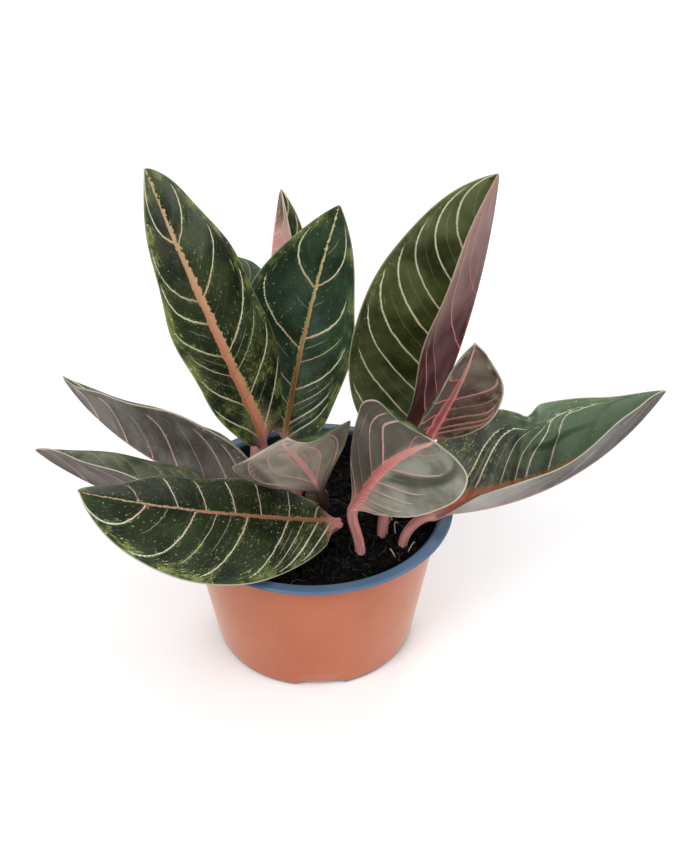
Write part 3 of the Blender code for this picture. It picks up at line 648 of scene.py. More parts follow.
def cad_spine(leaf):
    """Points along the midrib at the solid's own stations, with the directions forward, right and up."""
    h, r = math.radians(leaf["heading"]), math.radians(leaf["rise"])
    forward = np.array((math.cos(r) * math.cos(h), math.cos(r) * math.sin(h), math.sin(r)))
    right = np.array((math.sin(h), -math.cos(h), 0.0))
    up = np.cross(right, forward)
    right, up = turned(right, up, leaf["roll"])
    place = np.array(leaf["base"], float)
    spine = [(place, forward, right, up)]
    shares = cosine_shares(CAD_STATIONS)
    for before, after in zip(shares, shares[1:]):
        step = after - before
        middle = (after + before) / 2
        last = forward
        arch = leaf["arch"] * (1 + leaf["arch_tip"] * (2 * middle - 1))
        sweep = leaf["sweep"] * (1 + leaf.get("sweep_tip", 0) * (2 * middle - 1))
        forward, up = turned(forward, up, -arch * step)
        forward, right = turned(forward, right, sweep * step)
        right, up = turned(right, up, leaf["twist"] * step)
        way = forward + last
        place = place + unit(way) * leaf["length"] * step
        spine.append((place, forward, right, up))
    return shares, np.array(spine)


def fine_spine(leaf, u):
    """The solid's midrib and directions at the shares u, on smooth curves through its own stations."""
    shares, spine = cad_spine(leaf)
    k = np.clip(np.searchsorted(shares, u, side="right") - 1, 0, CAD_STATIONS - 1)
    span = shares[k + 1] - shares[k]
    t = ((u - shares[k]) / span)[:, None]
    a, b = spine[k], spine[k + 1]
    reach = (span * leaf["length"])[:, None]
    place = (
        a[:, 0] * (1 + 2 * t) * (1 - t) ** 2 + b[:, 0] * t * t * (3 - 2 * t)
        + a[:, 1] * reach * t * (1 - t) ** 2 - b[:, 1] * reach * t * t * (1 - t)
    )
    frames = a[:, 1:] * (1 - t[:, :, None]) + b[:, 1:] * t[:, :, None]
    frames /= np.linalg.norm(frames, axis=2, keepdims=True)
    return place, frames[:, 0], frames[:, 1], frames[:, 2]


def half_width(leaf, u):
    a, b = leaf["full"], leaf["taper"]
    peak = a / (a + b)
    share = u ** a * (1 - u) ** b / (peak ** a * (1 - peak) ** b)
    least = PETIOLE_HALF_WIDTH * (1 - u) + TIP_HALF_WIDTH * u
    return np.maximum(leaf["width"] / 2 * share, least * (1 - 0.7 * smooth((u - 0.97) / 0.03)))


def vein_field(half, u, v, rng):
    """At each place a number that is whole on a vein and grows towards the tip, how strongly the veins show
    and how strongly the broken lines between them do."""
    bend = half.get("bend", VEIN_BEND)
    kinds = ((half["thin"], THIN_VEIN), (half["main"], 1.0), (half.get("strong", ()), STRONG_VEIN))
    starts, weights = np.array(sorted((start, weight) for kind, weight in kinds for start in kind)).T
    # Two veins before the first and two after the last carry the numbers on and don't show
    starts = np.concatenate((starts[0] - np.array((0.45, 0.15)), starts, starts[-1] + np.array((0.2, 0.5))))
    weights = np.concatenate(((0, 0), weights, (0, 0)))
    numbers = np.arange(len(starts), dtype=float)
    if "lean" in half:
        line = np.interp(u[:, None] - half["lean"] * v[None, :], starts, numbers)
        weights = weights * rng.uniform(0.6, 1.0, len(starts))
        ends = rng.uniform(0.85, 1.1, len(starts))
        nearest = np.round(line).astype(int)
        strength = weights[nearest] * smooth((ends[nearest] - v[None, :]) / 0.2)
        return line, strength, 0 * line

    # How far out each vein is at each station, always short of the vein behind it
    share = np.clip(starts, 0, 1)
    run = np.maximum(part_way(*half["run"], share), 0.025)
    reach = np.maximum(part_way(*half["reach"], share), 0.12)
    reach[:2] = 1.35, 1.15
    gone = (u[:, None] - starts) / run
    past = np.maximum(gone - 1, 0)
    drift = half.get("drift", VEIN_DRIFT)
    out = reach * (1 - np.maximum(1 - gone, 0) ** bend) + drift * past * past / (past + 0.5)
    for k in range(1, len(starts)):
        out[:, k] = np.minimum(out[:, k], out[:, k - 1] - 0.02)
    line = np.array([np.interp(v, row[::-1], numbers[::-1]) for row in out])

    # How strongly the nearest vein shows
    nearest = np.round(line).astype(int)
    shown = np.maximum(run, half.get("shown", VEIN_SHOWN)) * rng.uniform(0.82, 0.98, len(starts))
    shown = shown * np.where(weights < 1, 0.8, 1.0)
    weights = weights * rng.uniform(0.85, 1.15, len(starts))
    ahead = (u[:, None] - starts[nearest]) / shown[nearest]
    strength = weights[nearest] * smooth((1 - ahead) / 0.25) * (0.7 + 0.3 * smooth(1 - ahead))
    strength = strength * smooth((0.985 - v[None, :]) / 0.05)

    # Broken lines between half of the pairs of veins, each with its own beginning
    between = np.floor(line).astype(int)
    ahead = (u[:, None] - starts[between]) / shown[between]
    begin = rng.uniform(0.1, 0.5, len(starts))[between]
    shows = (rng.random(len(starts)) < 0.5)[between]
    second = shows * smooth((ahead - begin) / 0.1) * smooth((0.8 - ahead) / 0.2)
    return line, strength, second * (weights[between] > 0)


def relief(name, leaf, side, u, v, line, w, rng):
    """How far the blade stands up from its plain surface: quilting between veins and soft unevenness."""
    fade = smooth(v / 0.12) * smooth((1 - v) / 0.15) * smooth(u / 0.1) * smooth((1 - u) / 0.12)
    quilt = QUILT.get(name, PLAIN_QUILT) * np.sin(np.pi * (line % 1.0)) ** 0.8
    phase = rng.uniform(0, 2 * np.pi, 4)
    x, y = u * leaf["length"], v * w
    uneven = np.sin(0.11 * x + phase[0]) * np.sin(0.16 * y + phase[1])
    uneven += 0.5 * np.sin(0.23 * x + 0.13 * y + phase[2]) + 0.3 * np.sin(0.41 * y - 0.29 * x + phase[3])
    height = fade * (quilt + 0.22 * uneven)
    crease = CREASES.get(name)
    if crease and crease["side"] == side:
        off = u - crease["at"] - crease["lean"] * v
        height = height - crease["depth"] * smooth((v - 0.12) / 0.35) * np.exp(-((off / 0.03) ** 2))
        along, across = crease["dome"]
        bulge = smooth(off / 0.05) * smooth((along + 0.16 - u) / 0.2) * smooth((v - across + 0.06) / 0.1)
        height = height + crease["height"] * bulge * smooth((1.25 - v) / 0.5)
    return height


def blade_grid(name, leaf, seed):
    """The two faces of the blade as grids of points, and what the materials read at each of them."""
    u = cosine_shares(STATIONS)
    place, forward, right, up = fine_spine(leaf, u)
    full_width = half_width(leaf, u)[:, None]
    rib_half = (RIB_HALF_WIDTH * (1 - u) + RIB_TIP_HALF_WIDTH * u)[:, None] * RIB_SPREAD
    rib_depth = (KEEL.get(name, 1.0) * RIB_DEPTH * (1 - u) ** 0.8)[:, None]
    envelope = (np.sin(np.pi * u) ** 0.7)[:, None]
    u = u[:, None]
    v = np.linspace(0, 1, STRIPS + 1)[None, :]
    halves = []
    for side, sign in ((0, -1), (1, 1)):
        w = full_width
        rng = np.random.default_rng(seed * 10 + side)
        for where, at, back, ahead, taken in DIPS.get(name, ()):
            if where == side:
                off = (u - at) / np.where(u < at, back, ahead)
                w = w * (1 - taken * np.exp(-off ** 2))

        # The half's curved cross-section, lifted by the waves and the relief
        fold = np.radians(leaf["fold"][side] + leaf["open"][side] * (2 * u - 1))
        curl = math.radians(leaf["curl"][side]) or 1e-4
        angle = fold + curl * v
        across = (np.sin(angle) - np.sin(fold)) / curl
        rise = (np.cos(fold) - np.cos(angle)) / curl
        c, s = np.cos(angle)[:, :, None], np.sin(angle)[:, :, None]
        normal = up[:, None] * c - right[:, None] * sign * s
        sideways = (w * across * sign)[:, :, None] * right[:, None]
        point = place[:, None] + sideways + (w * rise)[:, :, None] * up[:, None]
        phase = leaf["waves"] * u + 0.35 * side + 0.1
        lift = leaf["wave"][side] * envelope * v * v * np.sin(2 * np.pi * phase)
        line, strength, second = vein_field(VEINS[name][side], u[:, 0], v[0], rng)
        lift = lift + relief(name, leaf, side, u, v, line, w, rng)
        point = point + normal * lift[:, :, None]

        # The two faces, with the keel below the midrib and the groove above it
        on_rib = np.cos(np.pi / 2 * np.clip(v * w / rib_half, 0, 1)) ** 2
        thick = part_way(BLADE_THICKNESS, MARGIN_THICKNESS, v)
        thick = part_way(EDGE_THICKNESS, thick, smooth((1 - v) * w / EDGE_TAPER))
        groove = on_rib * RIB_GROOVE * (1 - u) * smooth(u / 0.1)
        lower = point - normal * thick[:, :, None] - up[:, None] * (rib_depth * on_rib)[:, :, None]
        upper = point - up[:, None] * groove[:, :, None]

        # What the materials read
        read = dict(
            vein=(line, spacing(point, line), strength),
            zones=(v * w, second, 0.0),
            place=(u * leaf["length"], sign * v * w, SEED_STEP * seed),
            edge=((1 - v) * w, u, v))
        half = dict(upper=upper, lower=lower)
        for key, values in read.items():
            half[key] = np.stack(np.broadcast_arrays(*values, line)[:3], axis=-1)
        halves.append(half)
    left, other = halves
    both = {key: np.concatenate((left[key][:, :0:-1], other[key]), axis=1) for key in left}
    return u[:, 0], (place, forward, right, up), both.pop("upper"), both.pop("lower"), both


def spacing(point, line):
    """Millimetres from one whole number of line to the next, measured across the veins."""
    pu, pv = np.gradient(point, axis=0), np.gradient(point, axis=1)
    lu, lv = np.gradient(line, axis=0), np.gradient(line, axis=1)
    e, f, g = (pu * pu).sum(-1), (pu * pv).sum(-1), (pv * pv).sum(-1)
    area = np.maximum(e * g - f * f, 1e-9)
    steep = (g * lu * lu - 2 * f * lu * lv + e * lv * lv) / area
    return 1 / np.sqrt(np.maximum(steep, 1e-4))


def petiole_ring(place, right, up, drop):
    """Points round an oval with a shallow groove on top. drop moves it below the line of the midrib."""
    count = 2 * STRIPS + 1
    middle = place - up * PETIOLE_HALF_DEPTH * drop
    span = 180 - 2 * PETIOLE_EDGE
    angle = np.radians(180 - PETIOLE_EDGE - span * np.arange(count) / (count - 1))[:, None]
    side = right * PETIOLE_HALF_WIDTH * np.cos(angle)
    height = up * PETIOLE_HALF_DEPTH * np.sin(angle)
    hollow = 1 - PETIOLE_GROOVE * drop * np.exp(-((np.cos(angle) / 0.35) ** 2))
    return middle + side + height * hollow, middle + side - height


def petiole_path(leaf, base, forward):
    """Centres of the petiole from its foot in the soil to the blade, bending from upright towards it."""
    x, y = leaf["root"]
    ground = soil_height(x, y)
    foot = np.array((x, y, ground - HOLE_DEPTH + GAP))
    out = np.array((x, y, ground + 0.5))
    reach = np.linalg.norm(base - out)
    b = out + np.array((0, 0, PETIOLE_UPRIGHT * reach))
    c = base - forward * PETIOLE_INTO_BLADE * reach
    path = [foot]
    for k in range(PETIOLE_STATIONS):
        t = k / PETIOLE_STATIONS
        path.append(out * (1 - t) ** 3 + 3 * b * t * (1 - t) ** 2 + 3 * c * t * t * (1 - t) + base * t ** 3)
    return path


def build_leaf(name, leaf, seed):
    """The whole leaf: the blade, which grows out of the petiole's oval, and the petiole below it."""
    shares, (places, forwards, rights, ups), upper, lower, stored = blade_grid(name, leaf, seed)
    across = 2 * STRIPS + 1
    blended = smooth(shares / BLEND)
    for i in np.nonzero(blended < 1)[0]:
        top, bottom = petiole_ring(places[i], rights[i], ups[i], 1.0)
        upper[i] = upper[i] * blended[i] + top * (1 - blended[i])
        lower[i] = lower[i] * blended[i] + bottom * (1 - blended[i])
    stored["zones"][:, :, 2] = (1 - smooth((shares - 0.01) / BLEND))[:, None]

    # Rings of the petiole, from the blade down to the foot
    path = petiole_path(leaf, places[0], forwards[0])
    right = rights[0]
    tops, bottoms, lengths = [], [], []
    travelled = 0.0
    for k in range(len(path) - 1, -1, -1):
        after = path[k + 1] if k + 1 < len(path) else places[0]
        way = after - path[k]
        travelled += np.linalg.norm(way)
        way = np.array((0.0, 0.0, 1.0)) if k <= 1 else unit(way)
        right = unit(right - way * np.dot(right, way))
        top, bottom = petiole_ring(path[k], right, np.cross(right, way), k / len(path))
        tops.append(top)
        bottoms.append(bottom)
        lengths.append(travelled)
    upper = np.concatenate((tops[::-1], upper))
    lower = np.concatenate((bottoms[::-1], lower))
    for key, values in stored.items():
        start = np.repeat(values[:1], len(path), axis=0)
        if key == "place":
            start[:, :, 0] = -np.array(lengths[::-1])[:, None]
        if key == "zones":
            start[:, :, 2] = 1.0
        stored[key] = np.concatenate((start, values))

    # Faces of the top and the underside, of the two margins and of the two ends
    rows = len(upper)
    index = np.arange(rows * across).reshape(rows, across)
    under = index + rows * across
    quads = [
        np.stack((index[:-1, :-1], index[:-1, 1:], index[1:, 1:], index[1:, :-1]), -1).reshape(-1, 4),
        np.stack((under[:-1, :-1], under[1:, :-1], under[1:, 1:], under[:-1, 1:]), -1).reshape(-1, 4),
    ]
    for j, way in ((0, 1), (across - 1, -1)):
        edge = np.stack((index[:-1, j], index[1:, j], under[1:, j], under[:-1, j]), -1)
        quads.append(edge[:, ::way])
    for i, way in ((0, 1), (rows - 1, -1)):
        end = np.stack((index[i, :-1], under[i, :-1], under[i, 1:], index[i, 1:]), -1)
        quads.append(end[:, ::way])

    # The top and the margins have the first material, and the underside and the ends the second
    slots = np.concatenate([np.full(len(q), 0 if k in (0, 2, 3) else 1) for k, q in enumerate(quads)])
    points = np.concatenate((upper.reshape(-1, 3), lower.reshape(-1, 3)))
    materials = [leaf_face(name, True), leaf_face(name, False)]
    faces = np.concatenate(quads).tolist()
    made = new_object(name + "_veined", points, faces, materials, slots.astype(np.int32))
    for key, values in stored.items():
        add_vectors(made, key, np.concatenate((values.reshape(-1, 3), values.reshape(-1, 3))))
    finish_piece(made, "leaf", name)


# Pot


CHANNEL_ANGLE = math.radians(270 + CHANNEL_TURN)


def channel(r, angle, spare=0.0):
    """How far the floor is lifted at this place by the arches in the foot, widened by spare."""
    turn = 2 * math.pi / CHANNELS
    off = (angle - CHANNEL_ANGLE + turn / 2) % turn - turn / 2
    across = np.abs(off) * max(r, 1.0)
    side = 1 - smooth((across - CHANNEL_HALF_WIDTH - spare + 3.5) / 3.5)
    return CHANNEL_LIFT * side * smooth((r - CHANNEL_START + spare) / 4.0)


def wall_radius(z):
    tall = RIM_HEIGHT - 2 * WALL_ENDS
    return FOOT_RADIUS + (WALL_TOP_RADIUS - FOOT_RADIUS) * (z - WALL_ENDS) / tall


def softened(corners, reach, steps=3):
    """The same line with each corner rounded over reach."""
    corners = np.array(corners, float)
    line = [corners[0]]
    for before, corner, after in zip(corners, corners[1:], corners[2:]):
        back, ahead = before - corner, after - corner
        cut = min(reach, 0.45 * np.linalg.norm(back), 0.45 * np.linalg.norm(ahead))
        a = corner + unit(back) * cut
        b = corner + unit(ahead) * cut
        for k in range(steps + 1):
            t = k / steps
            line.append(a * (1 - t) ** 2 + 2 * corner * t * (1 - t) + b * t * t)
    line.append(corners[-1])
    return np.array(line)


def revolved(profile, count, height_at):
    """Points and quads of a profile turned round the axis. Its first and last points lie on the axis."""
    angles = 2 * np.pi * np.arange(count) / count
    rows = []
    for r, z in profile[1:-1]:
        rows.append(np.stack((r * np.cos(angles), r * np.sin(angles), height_at(r, z, angles)), -1))
    points = np.concatenate(rows)
    low, high = len(points), len(points) + 1
    ends = [(0, 0, height_at(0.0, profile[k][1], angles[:1])[0]) for k in (0, -1)]
    points = np.concatenate((points, ends))
    k = np.arange(count)
    n = (k + 1) % count
    faces = [(low, b, a) for a, b in zip(k.tolist(), n.tolist())]
    for row in range(len(rows) - 1):
        a, b = row * count, (row + 1) * count
        faces += np.stack((a + k, a + n, b + n, b + k), -1).tolist()
    last = (len(rows) - 1) * count
    faces += [(high, last + a, last + b) for a, b in zip(k.tolist(), n.tolist())]
    return points, faces


def plastic(name, light, dark, foot=None, sheen=0.0):
    """Smooth moulded plastic, faintly cloudy, with fine grain, light scuffs and, if foot is given, painted
    shade in that colour along the foot.
    """
    look = Look(name)
    place = look.object_place()
    cloud = look.noise(place, 0.03, 3.0)
    look.colour = look.mix(look.step(cloud, 0.3, 0.7), dark, light)
    scuff = look.noise(look.stretch(place, (0.35, 0.35, 0.05)), 1.0, 4.0, 0.7)
    look.over(look.step(scuff, 0.66, 0.8), (0.75, 0.62, 0.52), 0.10)
    # Painted shade: the foot colour darkens the lowest millimetre or two of the pot, where it meets the
    # floor
    if foot:
        low = look.scaled(look.noise(place, 0.3, 3.0), -1.2, look.split(place)[2])
        look.over(look.step(low, 1.6, 0.6), foot)
    grain = look.noise(place, 2.0, 2.0)
    look.bump(look.math("ADD", grain, look.times(cloud, 2.0)), 0.04)
    return look.surface(
        Roughness=look.scaled(scuff, 0.2, 0.36), Specular_IOR_Level=0.3, Sheen_Weight=sheen,
        Sheen_Roughness=0.35, Sheen_Tint=(1.0, 0.85, 0.75))


def build_pot():
    outside = [(r, 0) for r in (0, 18, CHANNEL_START, 33, 39, 45.4)]
    outside += [(46.6, 0.8), (FOOT_RADIUS, WALL_ENDS)]
    outside += [(wall_radius(z), z) for z in (9, 20, 32, 44, 56, 66)]
    outside += [(WALL_TOP_RADIUS, RIM_HEIGHT - 2.4), (WALL_TOP_RADIUS + 1.2, RIM_HEIGHT - WALL)]
    rim = [
        (RIM_RADIUS - WALL - 0.3, RIM_HEIGHT - WALL), (RIM_RADIUS - WALL, RIM_HEIGHT - RIM_DROP),
        (RIM_RADIUS, RIM_HEIGHT - RIM_DROP), (RIM_RADIUS, RIM_HEIGHT - 0.8), (RIM_RADIUS - 0.8, RIM_HEIGHT),
        (WALL_TOP_RADIUS + 0.6, RIM_HEIGHT), (WALL_TOP_RADIUS - WALL, RIM_HEIGHT - 2.0),
    ]
    inside = [(wall_radius(z) - WALL, z) for z in (66, 56, 44, 32, 20, 9)]
    inside += [(FOOT_RADIUS - WALL - 0.2, 3.4), (45.0, 1.6), (39, WALL), (33, WALL), (CHANNEL_START, WALL)]
    inside += [(18, WALL), (0, WALL)]
    profile = softened(outside + rim + inside, 0.7)

    def height_at(r, z, angles):
        return z + channel(r, angles) * (1 - smooth((z - 1.5) / 8.0))

    points, faces = revolved(profile, POT_SEGMENTS, height_at)
    # The terracotta's foot colour (0.10, 0.030, 0.015) is painted shade along the bottom edge
    terracotta = plastic(
        "terracotta_plastic", (0.40, 0.108, 0.043), (0.36, 0.088, 0.032), (0.10, 0.030, 0.015), 0.8)
    blue = plastic("blue_plastic", (0.074, 0.132, 0.208), (0.056, 0.104, 0.177))
    # Painted shade: a darker copy of the blue for the inside of the pot below the rim
    shaded_blue = plastic("shaded_inner_blue_plastic", (0.008, 0.017, 0.030), (0.006, 0.013, 0.022))
    made = new_object("pot_moulded", points, faces, [terracotta, blue, shaded_blue])

    # Drain holes
    for k in range(2 * CHANNELS):
        off = math.radians(DRAIN_ANGLE if k % 2 else -DRAIN_ANGLE)
        angle = CHANNEL_ANGLE + 2 * math.pi * (k // 2) / CHANNELS + off
        bpy.ops.mesh.primitive_cylinder_add(
            vertices=DRAIN_SIDES, radius=DRAIN_RADIUS * MM, depth=10 * MM,
            location=(DRAIN_AT * MM * math.cos(angle), DRAIN_AT * MM * math.sin(angle), 3 * MM))
        cutter = bpy.context.active_object
        change = made.modifiers.new("drain", "BOOLEAN")
        change.operation = "DIFFERENCE"
        change.object = cutter
        bpy.context.view_layer.objects.active = made
        bpy.ops.object.modifier_apply(modifier=change.name)
        bpy.data.objects.remove(cutter)

    # Blue on the rim, and on the inside wall and floor a darker copy of the blue as painted shade
    under_rim = RIM_HEIGHT - WALL - 0.1
    for polygon in made.data.polygons:
        x, y, z = polygon.center / MM
        r = math.hypot(x, y)
        inner = r < wall_radius(z) - WALL / 2 and z > 3 + channel(r, np.array(math.atan2(y, x)))
        floor = r < FOOT_RADIUS - 2 and polygon.normal.z > 0.5
        lip = r > WALL_TOP_RADIUS + 1.5 or z > under_rim
        deep = r < WALL_TOP_RADIUS - 0.5
        polygon.material_index = (2 if deep else 1) if inner or floor or lip else 0
        polygon.use_smooth = True
    finish_piece(made, "pot", "pot")


# Soil


def earth():
    look = Look("potting_soil")
    place = look.object_place()
    clods = look.noise(place, 0.25, 5.0, 0.7)
    look.colour = look.mix(look.step(clods, 0.35, 0.7), (0.0010, 0.0010, 0.0011), (0.0035, 0.0030, 0.0028))
    bits, tints = look.cells(place, 0.45)
    pale = look.times(look.step(look.split(tints)[0], 0.93, 0.97), look.step(bits, 0.35, 0.2))
    look.over(pale, (0.05, 0.038, 0.028))
    look.bump(look.noise(place, 1.1, 4.0, 0.7), 0.8)
    return look.surface(Roughness=0.95, Specular_IOR_Level=0.08)


def crumb_look(name, dark, light):
    """Loose bits whose colour follows the tint stored for each."""
    look = Look(name)
    tint = look.split(look.vector("tint"))[0]
    grain = look.noise(look.object_place(), 1.8, 4.0, 0.7)
    shade = look.scaled(grain, 0.5, look.times(tint, 0.75))
    look.colour = look.mix(look.step(shade, 0.2, 1.1), dark, light)
    look.bump(grain, 0.3)
    return look.surface(Roughness=0.92, Specular_IOR_Level=0.10)


def soil_surface(x, y):
    """The soil's fine surface in height: the solid's own with small clods."""
    fine = 0.45 * np.sin(0.9 * x + 1.3 * np.sin(0.7 * y)) * np.sin(1.1 * y + 0.8 * np.sin(0.6 * x))
    return soil_height(x, y) + fine


def build_soil():
    floor = WALL + GAP
    under = [(0, floor), (18, floor), (CHANNEL_START, floor), (33, floor), (39, floor), (44.2, floor + 0.8)]
    side = [(45.0, 4.4), (wall_radius(9.5) - WALL - GAP, 9.5), (wall_radius(36) - WALL - GAP, 36)]
    rim = wall_radius(62) - WALL - GAP - 0.3
    top = [(rim * (1 - k / 64), SOIL_LEVEL) for k in range(65)]
    profile = np.array(under + side + top)

    def height_at(r, z, angles):
        if z == SOIL_LEVEL:
            return soil_surface(r * np.cos(angles), r * np.sin(angles))
        return z + channel(r, angles, SOIL_OVER_CHANNEL) * (1 - smooth((z - 2.5) / 8.0))

    points, faces = revolved(profile, POT_SEGMENTS, height_at)
    made = new_object("soil_surface", points, faces, [earth()])
    finish_piece(made, "soil", "soil")


def build_crumbs():
    """Crumbs, bark chips and pale grains that lie on the soil, in one mesh."""
    rng = np.random.default_rng(7)
    shape = bmesh.new()
    bmesh.ops.create_icosphere(shape, subdivisions=1, radius=1.0)
    corners = np.array([v.co[:] for v in shape.verts])
    sides = np.array([[v.index for v in f.verts] for f in shape.faces])
    shape.free()
    points, faces, tints = [], [], []
    for _ in range(CRUMBS):
        r = CRUMBS_REACH * math.sqrt(rng.random())
        angle = rng.uniform(0, 2 * np.pi)
        x, y = r * math.cos(angle), r * math.sin(angle)
        kind = rng.random()
        if kind < CRUMB_SHARE:
            size = rng.uniform(0.5, 1.7) * np.array((1.0, rng.uniform(0.6, 1.0), rng.uniform(0.5, 0.9)))
            tint = rng.uniform(0.0, 0.55)
        elif kind < CRUMB_SHARE + CHIP_SHARE:
            size = rng.uniform(0.9, 1.5) * np.array((rng.uniform(1.6, 3.0), 0.7, 0.35))
            tint = rng.uniform(0.3, 0.8)
        else:
            size = rng.uniform(0.35, 0.8) * np.array((1.0, 0.9, 0.8))
            tint = rng.uniform(0.9, 1.4)
        rough = corners * (1 + rng.uniform(-0.28, 0.28, (len(corners), 1))) * size
        turn, tilt = rng.uniform(0, 2 * np.pi), rng.uniform(-0.5, 0.5)
        c, s = math.cos(tilt), math.sin(tilt)
        rough = rough @ np.array(((c, 0, s), (0, 1, 0), (-s, 0, c)))
        c, s = math.cos(turn), math.sin(turn)
        rough = rough @ np.array(((c, s, 0), (-s, c, 0), (0, 0, 1)))
        z = soil_surface(x, y) + size[2] * rng.uniform(0.1, 0.7)
        faces += (sides + len(points) * len(corners)).tolist()
        points.append(rough + np.array((x, y, z)))
        tints += [(tint, 0, 0)] * len(corners)
    used = crumb_look("crumbs", (0.0010, 0.0010, 0.0010), (0.020, 0.017, 0.014))
    made = new_object("soil_crumbs", np.concatenate(points), faces, [used])
    add_vectors(made, "tint", tints)
    finish_piece(made, "soil")


def tube(path, radii):
    """Points and faces of a thin tube along path, closed at both ends."""
    sides = TUBE_SIDES
    path = np.array(path, float)
    ways = np.gradient(path, axis=0)
    ways /= np.linalg.norm(ways, axis=1, keepdims=True)
    points, faces = [], []
    for place, way, radius in zip(path, ways, radii):
        side = unit(np.cross(way, (0.3, 0.2, 1.0)))
        other = np.cross(way, side)
        for k in range(sides):
            angle = 2 * math.pi * k / sides
            points.append(place + radius * (side * math.cos(angle) + other * math.sin(angle)))
    for i in range(len(path) - 1):
        for k in range(sides):
            a, b = i * sides + k, i * sides + (k + 1) % sides
            faces.append((a, b, b + sides, a + sides))
    faces.append(tuple(reversed(range(sides))))
    faces.append(tuple(range(len(points) - sides, len(points))))
    return points, faces


def build_fibres():
    """Fine brown fibres lying on the soil, and a few pale roots that stand out of it at the right."""
    rng = np.random.default_rng(11)
    points, faces, tints = [], [], []

    def add(path, radii, tint):
        new_points, new_faces = tube(path, radii)
        faces.extend([tuple(i + len(points) for i in f) for f in new_faces])
        points.extend(new_points)
        tints.extend([(tint, 0, 0)] * len(new_points))

    for _ in range(FIBRES):
        r, angle = FIBRES_START * math.sqrt(rng.random()), rng.uniform(0, 2 * np.pi)
        x, y = r * math.cos(angle), r * math.sin(angle)
        heading, bend = rng.uniform(0, 2 * np.pi), rng.uniform(-0.35, 0.35)
        hop, step = rng.uniform(0.2, 1.2), rng.uniform(0.7, 1.7)
        path = []
        for i in range(FIBRE_POINTS):
            if math.hypot(x, y) > FIBRES_REACH:
                break
            path.append((x, y, soil_surface(x, y) + 0.5 + hop * math.sin(math.pi * i / (FIBRE_POINTS - 1))))
            x, y = x + step * math.cos(heading), y + step * math.sin(heading)
            heading += bend
        if len(path) > 3:
            swell = [math.sin(math.pi * (i + 1) / (len(path) + 1)) for i in range(len(path))]
            radii = [FIBRE_RADIUS * share + FIBRE_END_RADIUS for share in swell]
            add(path, radii, rng.uniform(0.0, 0.18))
    for x, y, height, lean, out in PALE_ROOTS:
        ground = soil_surface(x, y)
        path = []
        along = [i / (ROOT_POINTS - 1) for i in range(ROOT_POINTS)]
        for t in along:
            away = out * t * t
            rise = height * math.sin(math.pi * 0.62 * t)
            path.append((x + lean * math.sin(2.2 * t) + away, y - away * 0.4, ground - 1 + rise))
        add(path, [ROOT_RADIUS * (1 - 0.6 * t) for t in along], ROOT_TINT)
    used = crumb_look("fibres", (0.0025, 0.0020, 0.0018), (0.50, 0.45, 0.38))
    made = new_object("soil_fibres", points, faces, [used])
    add_vectors(made, "tint", tints)
    finish_piece(made, "soil")


# Canes


def cane_look():
    look = Look("cane")
    place = look.object_place()
    rings = look.noise(look.stretch(place, (0.08, 0.08, 0.9)), 1.0, 3.0, 0.6)
    look.colour = look.mix(look.step(rings, 0.35, 0.65), (0.035, 0.020, 0.012), (0.080, 0.048, 0.028))
    look.over(look.step(look.noise(place, 0.25, 4.0, 0.7), 0.5, 0.7), (0.030, 0.040, 0.014), 0.7)
    look.bump(look.math("ADD", rings, look.noise(place, 1.2, 3.0)), 0.25)
    return look.surface(Roughness=0.5, Specular_IOR_Level=0.4)


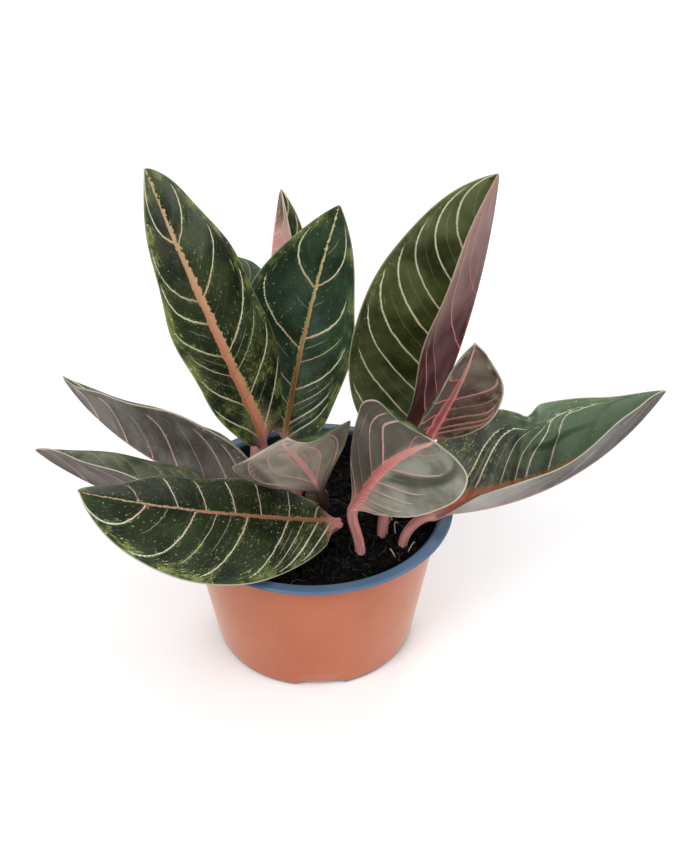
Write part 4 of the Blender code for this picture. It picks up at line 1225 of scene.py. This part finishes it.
def build_canes():
    used = cane_look()
    for name, cane in CANES.items():
        x, y = cane["foot"]
        ground = soil_height(x, y)
        r, tall = cane["radius"], cane["height"]
        levels = [(0.0, -HOLE_DEPTH), (r - 0.6, -HOLE_DEPTH), (r - 0.6, 1.0)]
        for k in range(cane["rings"]):
            z = 1.0 + (tall - 8.0) * (k + 0.5) / cane["rings"]
            levels += [(r - 0.5, z - 1.2), (r, z), (r - 0.7, z + 1.0)]
        levels += [(r - 0.8, tall - 5.0), (r * 0.5, tall - 1.5), (0.0, tall)]
        profile = softened(levels, 1.2, 4)
        points, faces = revolved(profile, CANE_SIDES, lambda radius, z, angles: z + 0 * angles)
        bend = smooth(points[:, 2] / tall)
        points[:, 0] += x + cane["lean"][0] * bend
        points[:, 1] += y + cane["lean"][1] * bend
        points[:, 2] += ground
        made = new_object(name + "_ringed", points, faces, [used])
        finish_piece(made, "cane", name)


# Stage


def area_light(name, place, aim, size, power):
    data = bpy.data.lights.new(name, "AREA")
    data.shape = "DISK"
    data.size = size
    data.energy = power
    made = bpy.data.objects.new(name, data)
    made.location = place
    made.rotation_euler = (made.location - aim).to_track_quat("Z", "Y").to_euler()
    bpy.context.scene.collection.objects.link(made)


def build_stage():
    """A pale floor under the pot, three soft lights and an even light from all round."""
    reach = FLOOR_REACH
    points = [(-reach, -reach, 0), (reach, -reach, 0), (reach, reach, 0), (-reach, reach, 0)]
    look = Look("floor")
    haze = look.noise(look.object_place(), 0.002, 1.0)
    look.colour = look.mix(haze, (0.86, 0.86, 0.86), (0.90, 0.90, 0.90))
    floor = new_object("floor", points, [(0, 1, 2, 3)], [look.surface(Roughness=0.6)])
    aim = Vector((0, 0, 0.1))
    area_light("key", (-0.7, -0.9, 1.3), aim, 0.9, 16)
    area_light("fill", (1.1, -0.6, 0.9), aim, 1.2, 9)
    area_light("back", (0.2, 1.2, 1.2), aim, 1.0, 9)
    world = bpy.data.worlds.new("studio")
    world.use_nodes = True
    background = world.node_tree.nodes["Background"]
    background.inputs["Color"].default_value = (1.0, 1.0, 1.0, 1.0)
    background.inputs["Strength"].default_value = WORLD_STRENGTH
    bpy.context.scene.world = world
    bpy.context.scene.view_settings.view_transform = "Standard"


def build_camera():
    """The photograph's camera: 34 degrees above the level, on the plant's front."""
    data = bpy.data.cameras.new("camera")
    data.lens = CAMERA_LENS
    data.sensor_width = CAMERA_SENSOR
    camera = bpy.data.objects.new("camera", data)
    camera.location = CAMERA_PLACE
    camera.rotation_euler = (math.radians(CAMERA_TILT), 0, 0)
    bpy.context.scene.collection.objects.link(camera)
    bpy.context.scene.camera = camera


build_camera()
build_stage()
build_pot()
build_soil()
build_crumbs()
build_fibres()
build_canes()
for number, (leaf_name, leaf_values) in enumerate(LEAVES.items(), 1):
    build_leaf(leaf_name, leaf_values, number)
